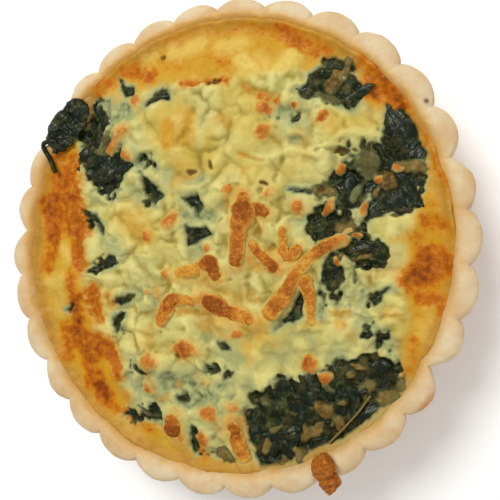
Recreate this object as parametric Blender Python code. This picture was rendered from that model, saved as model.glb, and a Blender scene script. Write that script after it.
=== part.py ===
"""A small vegetable quiche, baked with spinach and grated cheese in a fluted tart tin.

The origin is on the table under the middle of the quiche, and +Z is up. Each piece that shows is
one object: the pastry case, the filling with its small browned lumps, each spinach leaf, each
long shred of cheese, and the crumb on the rim. Sizes are in millimetres, and a mesh is made in
metres.
"""

import math

import bpy
import numpy as np
from mathutils import Vector
from mathutils.bvhtree import BVHTree

METRES = 0.001
GAP = 0.35

# The pastry case: a fluted wall that leans outwards, with a soft rounded rim.
FLUTES = 30
STEPS_PER_FLUTE = 6
FIRST_NOTCH = math.radians(6.9)
NOTCH_RADIUS = 59.3
FLUTE_DEPTH = 2.6
FLUTE_ROUNDNESS = 0.65
BASE_RADIUS = 50.5
CASE_HEIGHT = 24.0
FLOOR = 4.0
INNER_BASE = 47.3
INNER_TOP = 55.9
SHOULDER = 22.9
INNER_WAVE = 0.2
RIM_WAVE = 0.45

# The rim swells at its upper right and draws in at its upper left: angle, spread, growth.
RIM_SWELLS = ((49, 17, 1.1), (151, 20, -0.8))
# Notches that are pressed deeper than the others: angle and depth.
DEEP_NOTCHES = ((18, 1.1), (139, 0.8), (175, 1.5), (213, 0.8), (331, 1.9))
DEEP_NOTCH_SPREAD = 2.4

# The filling: custard at the wall, which climbs the rim at the back, and lumpy cheese inside.
CUSTARD_LEVEL = 20.6
BACK_RISE = 1.5
CHEESE_RISE = 1.7
TOP_CELLS = 40
LUMPS = 130
LUMP_SPREAD = (2.0, 3.6)
LUMP_HEIGHT = (0.4, 1.5)
# Broad swells and hollows of the top: x, y, spread, height.
SWELLS = (
    (-27, 30, 9, 0.9), (-6, 30, 9, 1.0), (24, 24, 9, 0.9), (-26, 0, 10, 0.8),
    (2, -2, 8, 0.8), (30, -20, 9, 0.8), (-15, -24, 9, 0.6), (6, -30, 8, 0.5),
    (-49, 10, 6, -0.9), (-36, -34, 6, -0.9), (51, -8, 6, -0.9), (42, 38, 6, -0.8),
    (22, -42, 12, -0.6), (44, 22, 7, -0.5), (-39, 24, 6, -0.6), (2, 50, 10, 0.9),
)

# Browned lumps of cheese, joined to the filling: x, y, radius.
BROWNED_LUMPS = (
    (1.5, 14.5, 1.6), (13, 14, 2.0), (19, 9.5, 1.4), (-15.5, 6, 1.8), (-20.5, 2, 1.7),
    (10.3, 34, 1.9), (11.5, 28.5, 2.0), (25, 30.5, 1.6), (27, 26.5, 2.2), (29, 17.5, 1.5),
    (26.5, 9, 1.6), (-24.5, 37.5, 1.8), (-28.5, 31, 2.2), (-27, 24.5, 1.5), (-4, -21, 2.4),
    (4.5, -22, 1.6), (-20.5, -30, 2.0), (-9, -26.5, 2.8), (-21, -36.5, 1.6), (-4, -42, 2.2),
    (-5, -48.5, 1.9), (2, -40.3, 1.7), (22, -28.5, 2.3), (26, -32.5, 1.7), (31.5, -21.5, 1.4),
    (37, 14, 1.6), (-37.6, 35.3, 1.9), (-22, -13, 1.8), (-18, -2.5, 1.7), (38, -35, 1.9),
)
LUMP_FLATNESS = 0.62

# Spinach leaves, in the order in which they lie on each other: path and width.
LEAVES = {
    "spinach_upper_left": (((-37, 36), (-41, 29), (-40, 22.5), (-33, 18.5), (-26, 20)), 8.0),
    "spinach_rim_left": (((-51, 30), (-48, 33.5), (-44.5, 37.5), (-41.5, 41)), 6.5),
    "spinach_rim_upper": (((-43, 41.5), (-38.5, 41), (-34, 39.5)), 2.8),
    "spinach_sliver_upper": (((-29.5, 45.5), (-28, 42.5), (-26.3, 39.8)), 2.4),
    "spinach_hook": (((-22.5, 37), (-19, 39.5), (-15.5, 39)), 2.8),
    "spinach_left": (((-23, 18), (-19.5, 14.5), (-15.5, 12)), 3.8),
    "spinach_centre_upper": (((-12, 10), (-8.5, 11.3), (-4.5, 12)), 4.0),
    "spinach_centre_lower": (((-11.3, 2.5), (-7, 3), (-3, 3)), 5.0),
    "spinach_left_band": (((-40, -6.5), (-35, -4), (-29.5, -3)), 2.6),
    "spinach_left_low": (((-27.5, -29), (-24, -30), (-22, -33)), 3.0),
    "spinach_lower_left": (((-25.5, -42), (-21.5, -43.5), (-17, -41)), 3.2),
    "spinach_bottom": (((-8.4, -45.5), (-8.2, -49), (-8, -52)), 2.3),
    "spinach_by_shreds": (((13, -20), (16, -15.5), (19.5, -11.5)), 4.6),
    "spinach_upper_right": (((20, 38), (26, 41), (32, 38.5), (33, 32.5)), 6.4),
    "spinach_right_tail": (((48.5, 15), (44, 9.5), (36, 5.5)), 5.0),
    "spinach_right_leaf": (((41, 33), (44, 27), (46.5, 20.5), (44, 14)), 9.0),
    "spinach_right_inner": (((39, -1), (33, -2.5), (28, -7.5)), 4.0),
    "spinach_lower_right": (((44, -33), (36, -36), (29.5, -45)), 10.5),
    "spinach_lower_middle": (((27, -30), (24, -40), (18, -50)), 11.0),
    "spinach_lower_tongue": (((15, -33), (13, -42), (11, -51)), 10.0),
}
LEAF_THICKNESS = 0.5
LEAF_RIPPLE = 0.7
LEAF_CELL = 2.3

# Long shreds of browned cheese, laid after the leaves: path and width.
SHREDS = {
    "cheese_shred_upright": (((4, 11.5), (3.9, 3), (3.8, -5.5)), 3.5),
    "cheese_shred_arm": (((4.5, 9.3), (8, 8.4), (11.5, 8.2)), 3.2),
    "cheese_shred_cross": (((5.5, 0), (9.5, -3), (14, -6)), 3.0),
    "cheese_shred_vee": (((14.5, -3.2), (17, -1.4), (19.5, 0)), 2.4),
    "cheese_shred_branch": (((20.5, -8.5), (21.7, -13), (22.5, -19)), 2.2),
    "cheese_shred_long": (((12.3, -16.8), (16, -11.8), (20, -7.5), (24, -3.2), (29.5, 0.8)), 2.8),
    "cheese_shred_left": (((-13, -6.7), (-8, -5.6), (-3, -5)), 2.8),
    "cheese_shred_bent": (((-17, -19.5), (-15.6, -15), (-14, -12.7), (-10, -13.3)), 2.6),
    "cheese_shred_low": (((-5, -13), (1, -15.5), (7, -18)), 3.0),
    "cheese_shred_curl": (((-12.7, -42.8), (-13.9, -46), (-12, -48.9)), 2.6),
    "cheese_shred_bottom": (((2.3, -45.5), (4, -49), (5.5, -52.5)), 3.0),
}
SHRED_THICKNESS = 1.9
SHRED_SIDES = 8
SHRED_STEP = 1.6

# The stem that curls over the rim: its path in plan, and its diameter.
STEM_PATH = ((-51.5, 21.5), (-53, 25), (-54.6, 29.3), (-51.2, 29.9), (-51.6, 26.8))
STEM_DIAMETER = 1.1
STEM_POINTS = 17

# The browned crumb that hangs over the rim: two lobes, each x, y, radius.
CRUMB_LOBES = ((25.0, -53.6, 2.7), (26.6, -56.4, 2.3))
CRUMB_FLATNESS = 0.8

# What hangs over the rim is held at this height where nothing is under it.
HANG_HEIGHT = 22.6

COLOURS = {
    "pastry": (0.70, 0.52, 0.31, 0.75),
    "filling": (0.62, 0.50, 0.18, 0.42),
    "spinach": (0.03, 0.06, 0.03, 0.35),
    "browned_cheese": (0.50, 0.17, 0.03, 0.45),
}


def clear_scene():
    for thing in list(bpy.data.objects):
        bpy.data.objects.remove(thing)


def material(name):
    """A plain Principled finish: red, green, blue and roughness."""
    *colour, roughness = COLOURS[name]
    made = bpy.data.materials.new(name)
    made.use_nodes = True
    shader = made.node_tree.nodes["Principled BSDF"]
    shader.inputs["Base Color"].default_value = (*colour, 1)
    shader.inputs["Roughness"].default_value = roughness
    return made


def add_object(name, points, faces, finish):
    """One object from points in millimetres, and its faces."""
    mesh = bpy.data.meshes.new(name)
    mesh.from_pydata((np.asarray(points) * METRES).tolist(), [], faces)
    mesh.update()
    mesh.shade_smooth()
    mesh.materials.append(finish)
    made = bpy.data.objects.new(name, mesh)
    bpy.context.scene.collection.objects.link(made)
    return made


def bump(distance, spread):
    return np.exp(-0.5 * (distance / spread) ** 2)


def turn_from(angle, degrees):
    """How far each angle is from a direction, in degrees, the short way round."""
    return (np.degrees(angle) - degrees + 180) % 360 - 180


def flute_reach(angle):
    """How far the wall stands out beyond a true circle: round lobes between sharp notches."""
    lobe = np.abs(np.sin(FLUTES / 2 * (angle - FIRST_NOTCH))) ** FLUTE_ROUNDNESS
    reach = FLUTE_DEPTH * lobe
    for degrees, spread, growth in RIM_SWELLS:
        reach = reach + growth * bump(turn_from(angle, degrees), spread)
    for degrees, depth in DEEP_NOTCHES:
        reach = reach - depth * bump(turn_from(angle, degrees), DEEP_NOTCH_SPREAD)
    return reach


def rim_height(angle):
    return CASE_HEIGHT - RIM_WAVE * (1 + 0.5 * np.sin(3 * angle + 1) + 0.5 * np.sin(7 * angle))


def inner_radius(angle, height):
    """The inside of the wall: a cone that takes up a little of the flutes towards the rim."""
    share = (height - FLOOR) / (SHOULDER - FLOOR)
    return INNER_BASE + share * (INNER_TOP - INNER_BASE + INNER_WAVE * flute_reach(angle))


def ring_faces(start, count, next_start):
    """Two triangles for each step between two rings of points."""
    faces = []
    for i in range(count):
        j = (i + 1) % count
        faces.append((start + i, start + j, next_start + j))
        faces.append((start + i, next_start + j, next_start + i))
    return faces


def pastry_case(finish):
    """Rings from the middle of the base, out and up the fluted wall, over the rim and down inside."""
    count = FLUTES * STEPS_PER_FLUTE
    angle = FIRST_NOTCH + np.arange(count) * math.tau / count
    reach = flute_reach(angle)
    top = rim_height(angle)
    flat = np.ones(count)
    rings = (
        (BASE_RADIUS - 1.2 + 0.6 * reach, 0 * flat),
        (BASE_RADIUS + 0.75 * reach, 1.2 * flat),
        (NOTCH_RADIUS - 0.7 + reach, 20.5 * flat),
        (NOTCH_RADIUS + reach, top - 1.6),
        (NOTCH_RADIUS - 0.8 + 0.85 * reach, top - 0.3),
        (NOTCH_RADIUS - 2.2 + 0.5 * reach, top),
        (inner_radius(angle, SHOULDER), SHOULDER * flat),
        (inner_radius(angle, FLOOR), FLOOR * flat),
    )
    points = [(0, 0, 0)]
    for radius, height in rings:
        points += np.stack([radius * np.cos(angle), radius * np.sin(angle), height], 1).tolist()
    points.append((0, 0, FLOOR))
    last = len(points) - 1
    faces = [(0, 1 + (i + 1) % count, 1 + i) for i in range(count)]
    for ring in range(len(rings) - 1):
        faces += ring_faces(1 + ring * count, count, 1 + (ring + 1) * count)
    inner = 1 + (len(rings) - 1) * count
    faces += [(last, inner + i, inner + (i + 1) % count) for i in range(count)]
    return add_object("pastry_case", points, faces, finish)


def custard_edge(angle):
    """The level at which the custard meets the wall. It stands higher at the back, at +Y."""
    return CUSTARD_LEVEL + BACK_RISE * bump(turn_from(angle, 90), 35)


def cheese_lumps():
    """Lumps spread evenly on a sunflower spiral, then nudged: x, y, spread and height of each."""
    draw = np.random.default_rng(11)
    k = np.arange(LUMPS)
    radius = 49 * np.sqrt((k + 0.5) / LUMPS)
    angle = k * math.pi * (3 - math.sqrt(5))
    x = radius * np.cos(angle) + draw.normal(0, 1.2, LUMPS)
    y = radius * np.sin(angle) + draw.normal(0, 1.2, LUMPS)
    return np.stack([x, y, draw.uniform(*LUMP_SPREAD, LUMPS), draw.uniform(*LUMP_HEIGHT, LUMPS)], 1)


def filling_height(x, y):
    """The top of the filling: the custard's level, a low dome of cheese, swells and lumps."""
    radius = np.hypot(x, y)
    level = custard_edge(np.arctan2(y, x))
    inside = np.clip((55 - radius) / 12, 0, 1)
    inside = inside * inside * (3 - 2 * inside)
    height = CHEESE_RISE * inside
    for lump_x, lump_y, spread, rise in (*SWELLS, *cheese_lumps()):
        height = height + inside * rise * bump(np.hypot(x - lump_x, y - lump_y), spread)
    return level + height


def disc_grid(cells):
    """A square grid pulled into a unit disc, ring by ring: the angle and radius of each point."""
    a, b = np.meshgrid(np.linspace(-1, 1, cells + 1), np.linspace(-1, 1, cells + 1), indexing="ij")
    wide = np.abs(a) >= np.abs(b)
    radius = np.where(wide, a, b)
    safe = np.where(radius == 0, 1, radius)
    angle = np.where(wide, math.pi / 4 * b / safe, math.pi / 2 - math.pi / 4 * a / safe)
    x, y = radius * np.cos(angle), radius * np.sin(angle)
    return np.arctan2(y, x), np.hypot(x, y)


def rim_of_grid(cells):
    """The indices of the grid's outer points, once round, anticlockwise."""
    side = cells + 1
    index = np.arange(side * side).reshape(side, side)
    return [*index[:-1, 0], *index[-1, :-1], *index[:0:-1, -1], *index[0, :0:-1]]


def filling(finish):
    """The lumpy top on a disc of cells, a side that follows the wall, and a flat bottom."""
    angle, share = disc_grid(TOP_CELLS)
    reach = share * (inner_radius(angle, custard_edge(angle)) - GAP)
    x, y = reach * np.cos(angle), reach * np.sin(angle)
    points = np.stack([x, y, filling_height(x, y)], -1).reshape(-1, 3).tolist()
    faces = []
    side = TOP_CELLS + 1
    for i in range(TOP_CELLS):
        for j in range(TOP_CELLS):
            corner = i * side + j
            faces.append((corner, corner + side, corner + side + 1))
            faces.append((corner, corner + side + 1, corner + 1))
    edge = rim_of_grid(TOP_CELLS)
    count = len(edge)
    bottom = FLOOR + GAP
    for number in edge:
        turn = math.atan2(points[number][1], points[number][0])
        radius = inner_radius(turn, bottom) - GAP
        points.append((radius * math.cos(turn), radius * math.sin(turn), bottom))
    low = side * side
    points.append((0, 0, bottom))
    for i in range(count):
        j = (i + 1) % count
        faces.append((edge[i], low + i, low + j))
        faces.append((edge[i], low + j, edge[j]))
        faces.append((low + count, low + j, low + i))
    return add_object("egg_filling", points, faces, finish)


def lobe(centre, radius, flatness):
    """A round blob as points and faces, with a few sides and rings."""
    around, rings = 8, 5
    points = [(0, 0, -1)]
    for ring in range(1, rings):
        tilt = math.pi * ring / rings
        for step in range(around):
            turn = math.tau * (step + 0.5 * (ring % 2)) / around
            points.append((math.sin(tilt) * math.cos(turn), math.sin(tilt) * math.sin(turn),
                           -math.cos(tilt)))
    points.append((0, 0, 1))
    faces = [(0, 1 + (i + 1) % around, 1 + i) for i in range(around)]
    for ring in range(rings - 2):
        faces += ring_faces(1 + ring * around, around, 1 + (ring + 1) * around)
    last = 1 + (rings - 1) * around
    faces += [(last, last - around + i, last - around + (i + 1) % around) for i in range(around)]
    return np.asarray(points) * (radius, radius, radius * flatness) + centre, faces


def join(body, blobs):
    """Unites blobs with a body by one Boolean on a collection, applies it and removes them."""
    helpers = bpy.data.collections.new("helpers")
    bpy.context.scene.collection.children.link(helpers)
    for points, faces in blobs:
        helper = add_object("helper", points, faces, body.data.materials[0])
        bpy.context.scene.collection.objects.unlink(helper)
        helpers.objects.link(helper)
    union = body.modifiers.new("lumps", "BOOLEAN")
    union.operation = "UNION"
    union.operand_type = "COLLECTION"
    union.collection = helpers
    union.solver = "EXACT"
    bpy.context.view_layer.update()
    graph = bpy.context.evaluated_depsgraph_get()
    joined = bpy.data.meshes.new_from_object(body.evaluated_get(graph))
    body.modifiers.remove(union)
    body.data = joined
    for helper in list(helpers.objects):
        bpy.data.objects.remove(helper)
    bpy.data.collections.remove(helpers)


def add_browned_lumps(body):
    blobs = []
    for x, y, radius in BROWNED_LUMPS:
        height = float(filling_height(x, y)) + 0.15 * radius
        blobs.append(lobe((x, y, height), radius, LUMP_FLATNESS))
    join(body, blobs)


class Bed:
    """Everything laid so far, which the next piece lies on."""

    def __init__(self):
        self.trees = []

    def lay(self, thing):
        points = [vertex.co for vertex in thing.data.vertices]
        faces = [tuple(face.vertices) for face in thing.data.polygons]
        self.trees.append(BVHTree.FromPolygons(points, faces))

    def height(self, x, y):
        """The highest surface under one place, in millimetres."""
        start = Vector((x * METRES, y * METRES, 1))
        found = [tree.ray_cast(start, Vector((0, 0, -1)))[0] for tree in self.trees]
        least = HANG_HEIGHT if math.hypot(x, y) > NOTCH_RADIUS - 1 else 0.0
        return max([least] + [hit.z / METRES for hit in found if hit is not None])

    def top(self, x, y, reach):
        """The highest surface within reach of each place of a grid."""
        rings = [(0, 0)]
        for distance in (0.5 * reach, reach):
            for step in range(8):
                turn = math.tau * step / 8
                rings.append((distance * math.cos(turn), distance * math.sin(turn)))
        heights = [max(self.height(px + dx, py + dy) for dx, dy in rings)
                   for px, py in zip(x.flat, y.flat)]
        return np.reshape(heights, x.shape)


def spread_out(heights, combine):
    """Combines each value of a grid with its neighbours along both sides."""
    for axis in range(heights.ndim):
        width = [(1, 1) if axis == side else (0, 0) for side in range(heights.ndim)]
        padded = np.pad(heights, width, mode="edge")
        size = heights.shape[axis]
        parts = [np.take(padded, range(start, start + size), axis) for start in range(3)]
        heights = combine(parts)
    return heights


def settled(heights):
    """A smooth sheet over a grid of heights that is never below any of them."""
    highest = spread_out(heights, lambda parts: np.max(parts, axis=0))
    return spread_out(highest, lambda parts: np.mean(parts, axis=0))


def smooth_path(corners, step):
    """A Catmull-Rom curve through a few corners, read at even steps, and its side direction."""
    corners = np.asarray(corners, float)
    ends = 2 * corners[[0, -1]] - corners[[1, -2]]
    p = np.vstack([ends[:1], corners, ends[1:]])
    t = np.linspace(0, 1, 20, endpoint=False)[:, None]
    parts = []
    for a, b, c, d in zip(p, p[1:], p[2:], p[3:]):
        parts.append(0.5 * (2 * b + (c - a) * t + (2 * a - 5 * b + 4 * c - d) * t**2
                            + (3 * b - a - 3 * c + d) * t**3))
    fine = np.vstack([*parts, corners[-1:]])
    along = np.concatenate([[0], np.cumsum(np.hypot(*np.diff(fine, axis=0).T))])
    count = max(4, round(along[-1] / step) + 1)
    even = np.linspace(0, along[-1], count)
    line = np.stack([np.interp(even, along, fine[:, 0]), np.interp(even, along, fine[:, 1])], 1)
    ahead = np.gradient(line, axis=0)
    ahead /= np.hypot(*ahead.T)[:, None]
    return line, np.stack([-ahead[:, 1], ahead[:, 0]], 1)


def leaf(name, corners, width, bed, finish, number):
    """A wilted leaf: a thin rippled sheet along a path, round at both ends, laid on the bed."""
    line, aside = smooth_path(corners, LEAF_CELL)
    count = len(line)
    across = max(3, round(width / LEAF_CELL) + 1)
    u = np.linspace(0, 1, count)[:, None]
    v = np.linspace(-1, 1, across)[None, :]
    half = 0.5 * width * np.sqrt(np.clip(1 - np.abs(2 * u - 1) ** 3, 0.12, 1))
    half = half * (1 + 0.12 * np.sin(9 * u + number))
    x = line[:, :1] + aside[:, :1] * half * v
    y = line[:, 1:] + aside[:, 1:] * half * v
    ripple = 0.5 + 0.5 * np.sin(4.5 * v + 11 * u + 1.7 * number) * np.cos(3 * v - 7 * u + number)
    low = settled(bed.top(x, y, 0.8)) + GAP + LEAF_RIPPLE * ripple
    top = np.stack([x, y, low + LEAF_THICKNESS], -1).reshape(-1, 3)
    under = np.stack([x, y, low], -1).reshape(-1, 3)
    size = count * across
    faces = []
    for i in range(count - 1):
        for j in range(across - 1):
            a = i * across + j
            b, c, d = a + across, a + across + 1, a + 1
            faces += [(a, b, c), (a, c, d)]
            faces += [(size + a, size + c, size + b), (size + a, size + d, size + c)]
    index = np.arange(size).reshape(count, across)
    loop = [*index[:-1, 0], *index[-1, :-1], *index[:0:-1, -1], *index[0, :0:-1]]
    for a, b in zip(loop, loop[1:] + loop[:1]):
        faces += [(a, size + a, size + b), (a, size + b, b)]
    points = np.vstack([top, under])
    made = add_object(name, points, [tuple(map(int, face)) for face in faces], finish)
    face_outwards(made)
    return made


def face_outwards(thing):
    """Turns a closed mesh the right way round where its volume comes out negative."""
    points = np.array([vertex.co for vertex in thing.data.vertices])
    corners = points[[tuple(face.vertices) for face in thing.data.polygons]]
    if np.linalg.det(corners).sum() < 0:
        thing.data.flip_normals()


def shred(name, corners, width, bed, finish):
    """A shred of cheese: a rounded strip along a path, blunt at both ends, laid on the bed."""
    line, aside = smooth_path(corners, SHRED_STEP)
    count = len(line)
    u = np.linspace(-1, 1, count)
    half = 0.5 * width * np.sqrt(np.clip(1 - u**8, 0.2, 1))
    thick = 0.5 * SHRED_THICKNESS * np.sqrt(np.clip(1 - u**8, 0.35, 1))
    reach = 0.5 * width + 0.3
    middle = settled(bed.top(line[:, 0], line[:, 1], reach)) + GAP + 0.5 * SHRED_THICKNESS
    turn = math.tau * np.arange(SHRED_SIDES) / SHRED_SIDES
    points = []
    for i in range(count):
        side = half[i] * np.cos(turn)
        rise = thick[i] * np.sin(turn)
        points += np.stack([line[i, 0] + aside[i, 0] * side, line[i, 1] + aside[i, 1] * side,
                            middle[i] + rise], 1).tolist()
    faces = []
    for ring in range(count - 1):
        faces += ring_faces(ring * SHRED_SIDES, SHRED_SIDES, (ring + 1) * SHRED_SIDES)
    ends = (0, (count - 1) * SHRED_SIDES)
    for start, flip in zip(ends, (True, False)):
        for i in range(1, SHRED_SIDES - 1):
            face = (start, start + i, start + i + 1)
            faces.append(face[::-1] if flip else face)
    made = add_object(name, points, faces, finish)
    face_outwards(made)
    return made


def stem(bed, finish):
    """The thin stem that loops over the rim, as a round tube."""
    line, _ = smooth_path(STEM_PATH, 1)
    places = np.linspace(0, len(line) - 1, STEM_POINTS)
    x = np.interp(places, np.arange(len(line)), line[:, 0])
    y = np.interp(places, np.arange(len(line)), line[:, 1])
    height = settled(bed.top(x, y, 0.9)) + GAP + 0.5 * STEM_DIAMETER
    curve = bpy.data.curves.new("spinach_stem", "CURVE")
    curve.dimensions = "3D"
    curve.bevel_depth = 0.5 * STEM_DIAMETER * METRES
    curve.bevel_resolution = 1
    curve.use_fill_caps = True
    spline = curve.splines.new("POLY")
    spline.points.add(STEM_POINTS - 1)
    for point, place in zip(spline.points, np.stack([x, y, height], 1) * METRES):
        point.co = (*place, 1)
    curve.materials.append(finish)
    made = bpy.data.objects.new("spinach_stem", curve)
    bpy.context.scene.collection.objects.link(made)
    return made


def crumb(bed, finish):
    """Two joined lobes of browned cheese that lie on the rim and hang over it."""
    blobs = []
    for x, y, radius in CRUMB_LOBES:
        ground = float(bed.top(np.array([x]), np.array([y]), 0.6 * radius)[0])
        height = ground + GAP + CRUMB_FLATNESS * radius
        blobs.append(lobe((x, y, height), radius, CRUMB_FLATNESS))
    body = add_object("cheese_crumb", *blobs[0], finish)
    join(body, blobs[1:])
    return body


def main():
    clear_scene()
    finishes = {name: material(name) for name in COLOURS}
    bed = Bed()
    bed.lay(pastry_case(finishes["pastry"]))
    body = filling(finishes["filling"])
    add_browned_lumps(body)
    bed.lay(body)
    for number, (name, (corners, width)) in enumerate(LEAVES.items()):
        bed.lay(leaf(name, corners, width, bed, finishes["spinach"], number))
    for name, (corners, width) in SHREDS.items():
        bed.lay(shred(name, corners, width, bed, finishes["browned_cheese"]))
    stem(bed, finishes["spinach"])
    crumb(bed, finishes["browned_cheese"])


main()
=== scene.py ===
"""The looks of a small spinach and cheese quiche, laid out as a Blender add-on and run as a script.

Sizes are in millimetres until a mesh is made. Places on the top are read in plan at the level where
the custard meets the pastry, and slide a little towards the viewer for what stands higher.
"""

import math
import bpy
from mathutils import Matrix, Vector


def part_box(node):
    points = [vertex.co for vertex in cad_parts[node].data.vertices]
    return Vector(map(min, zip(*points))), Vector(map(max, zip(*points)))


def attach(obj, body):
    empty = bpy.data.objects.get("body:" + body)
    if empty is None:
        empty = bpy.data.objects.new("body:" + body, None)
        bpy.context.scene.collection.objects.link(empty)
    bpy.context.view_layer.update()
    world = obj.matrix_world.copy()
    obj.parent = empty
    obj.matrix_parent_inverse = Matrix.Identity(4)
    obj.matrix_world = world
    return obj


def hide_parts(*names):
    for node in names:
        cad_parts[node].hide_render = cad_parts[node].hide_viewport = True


bl_info = {
    "name": "Spinach Quiche",
    "version": (1, 0, 0),
    "blender": (4, 5, 0),
    "location": "View3D > Sidebar > Quiche",
    "description": "Builds the pastry, custard, cheese and spinach of a small quiche, and its stage",
    "category": "Add Mesh",
}

import bpy
import numpy as np
from bpy.props import FloatProperty, FloatVectorProperty, PointerProperty
from mathutils import Matrix, Vector

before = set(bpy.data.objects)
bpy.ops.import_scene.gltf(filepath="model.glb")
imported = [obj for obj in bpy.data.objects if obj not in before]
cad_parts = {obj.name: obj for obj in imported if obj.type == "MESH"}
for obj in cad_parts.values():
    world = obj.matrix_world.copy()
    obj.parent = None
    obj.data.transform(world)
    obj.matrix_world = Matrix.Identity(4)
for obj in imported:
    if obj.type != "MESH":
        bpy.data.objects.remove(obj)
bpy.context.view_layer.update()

METRES = 0.001

# The pastry case, as in the solid.
FLUTES = 30
FIRST_NOTCH = math.radians(6.9)
NOTCH_RADIUS = 59.3
FLUTE_DEPTH = 2.6
FLUTE_ROUNDNESS = 0.65
STEPS_A_FLUTE = 30
BASE_RADIUS = 50.5
BASE_ROUNDING = 1.2
CASE_HEIGHT = 24.0
SPRING = 21.0
CROWN = 0.38
OUTER_BLUNTNESS = 0.62
INNER_BLUNTNESS = 2.4
FLOOR = 4.0
INNER_BASE = 47.3
INNER_TOP = 55.9
SHOULDER = 22.9
INNER_WAVE = 0.2
RIM_WAVE = 0.45
# The rim's swells and its deep notches: direction in degrees, spread, growth or depth.
RIM_SWELLS = ((49, 17, 1.1), (151, 20, -0.8))
DEEP_NOTCHES = ((18, 1.1), (139, 0.8), (175, 1.5), (213, 0.8), (331, 1.9))
DEEP_NOTCH_SPREAD = 2.4

# The filling's level, its dome and its broad swells, as in the solid: x, y, spread, height.
CUSTARD_LEVEL = 20.6
BACK_RISE = 1.5
CHEESE_RISE = 1.7
DOME_RADIUS = 55
DOME_RUN = 12
LUMPS = 130
LUMP_SPREAD = (2.0, 3.6)
LUMP_HEIGHT = (0.4, 1.5)
SWELLS = (
    (-27, 30, 9, 0.9), (-6, 30, 9, 1.0), (24, 24, 9, 0.9), (-26, 0, 10, 0.8), (2, -2, 8, 0.8),
    (30, -20, 9, 0.8), (-15, -24, 9, 0.6), (6, -30, 8, 0.5), (-49, 10, 6, -0.9), (-36, -34, 6, -0.9),
    (51, -8, 6, -0.9), (42, 38, 6, -0.8), (22, -42, 12, -0.6), (44, 22, 7, -0.5), (-39, 24, 6, -0.6),
    (2, 50, 10, 0.9),
)

# The view that the places were read in, its lens, and the level they were read at.
RIM_LEVEL = 22.3
VIEW_TILT = math.radians(19.47)
VIEW_TURN = math.radians(-7.57)
VIEW_DISTANCE = 173.3
VIEW_AIM = (7.65, -1.25)
LENS = 50.94
PLAN_LEVEL = RIM_LEVEL - 2.5

# How far above that level the top lies at the wall, and how much further in its middle.
EDGE_LIFT = 0.8
DOME_LIFT = 2.8

# The radius out to which melted cheese covers the custard, every 15 degrees from +X.
CHEESE_EDGE = (45, 49, 50, 48, 47, 42, 41, 42, 45, 49, 47, 42,
               41, 39, 41, 43, 47, 50, 52, 53, 54, 54, 51, 46)

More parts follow.
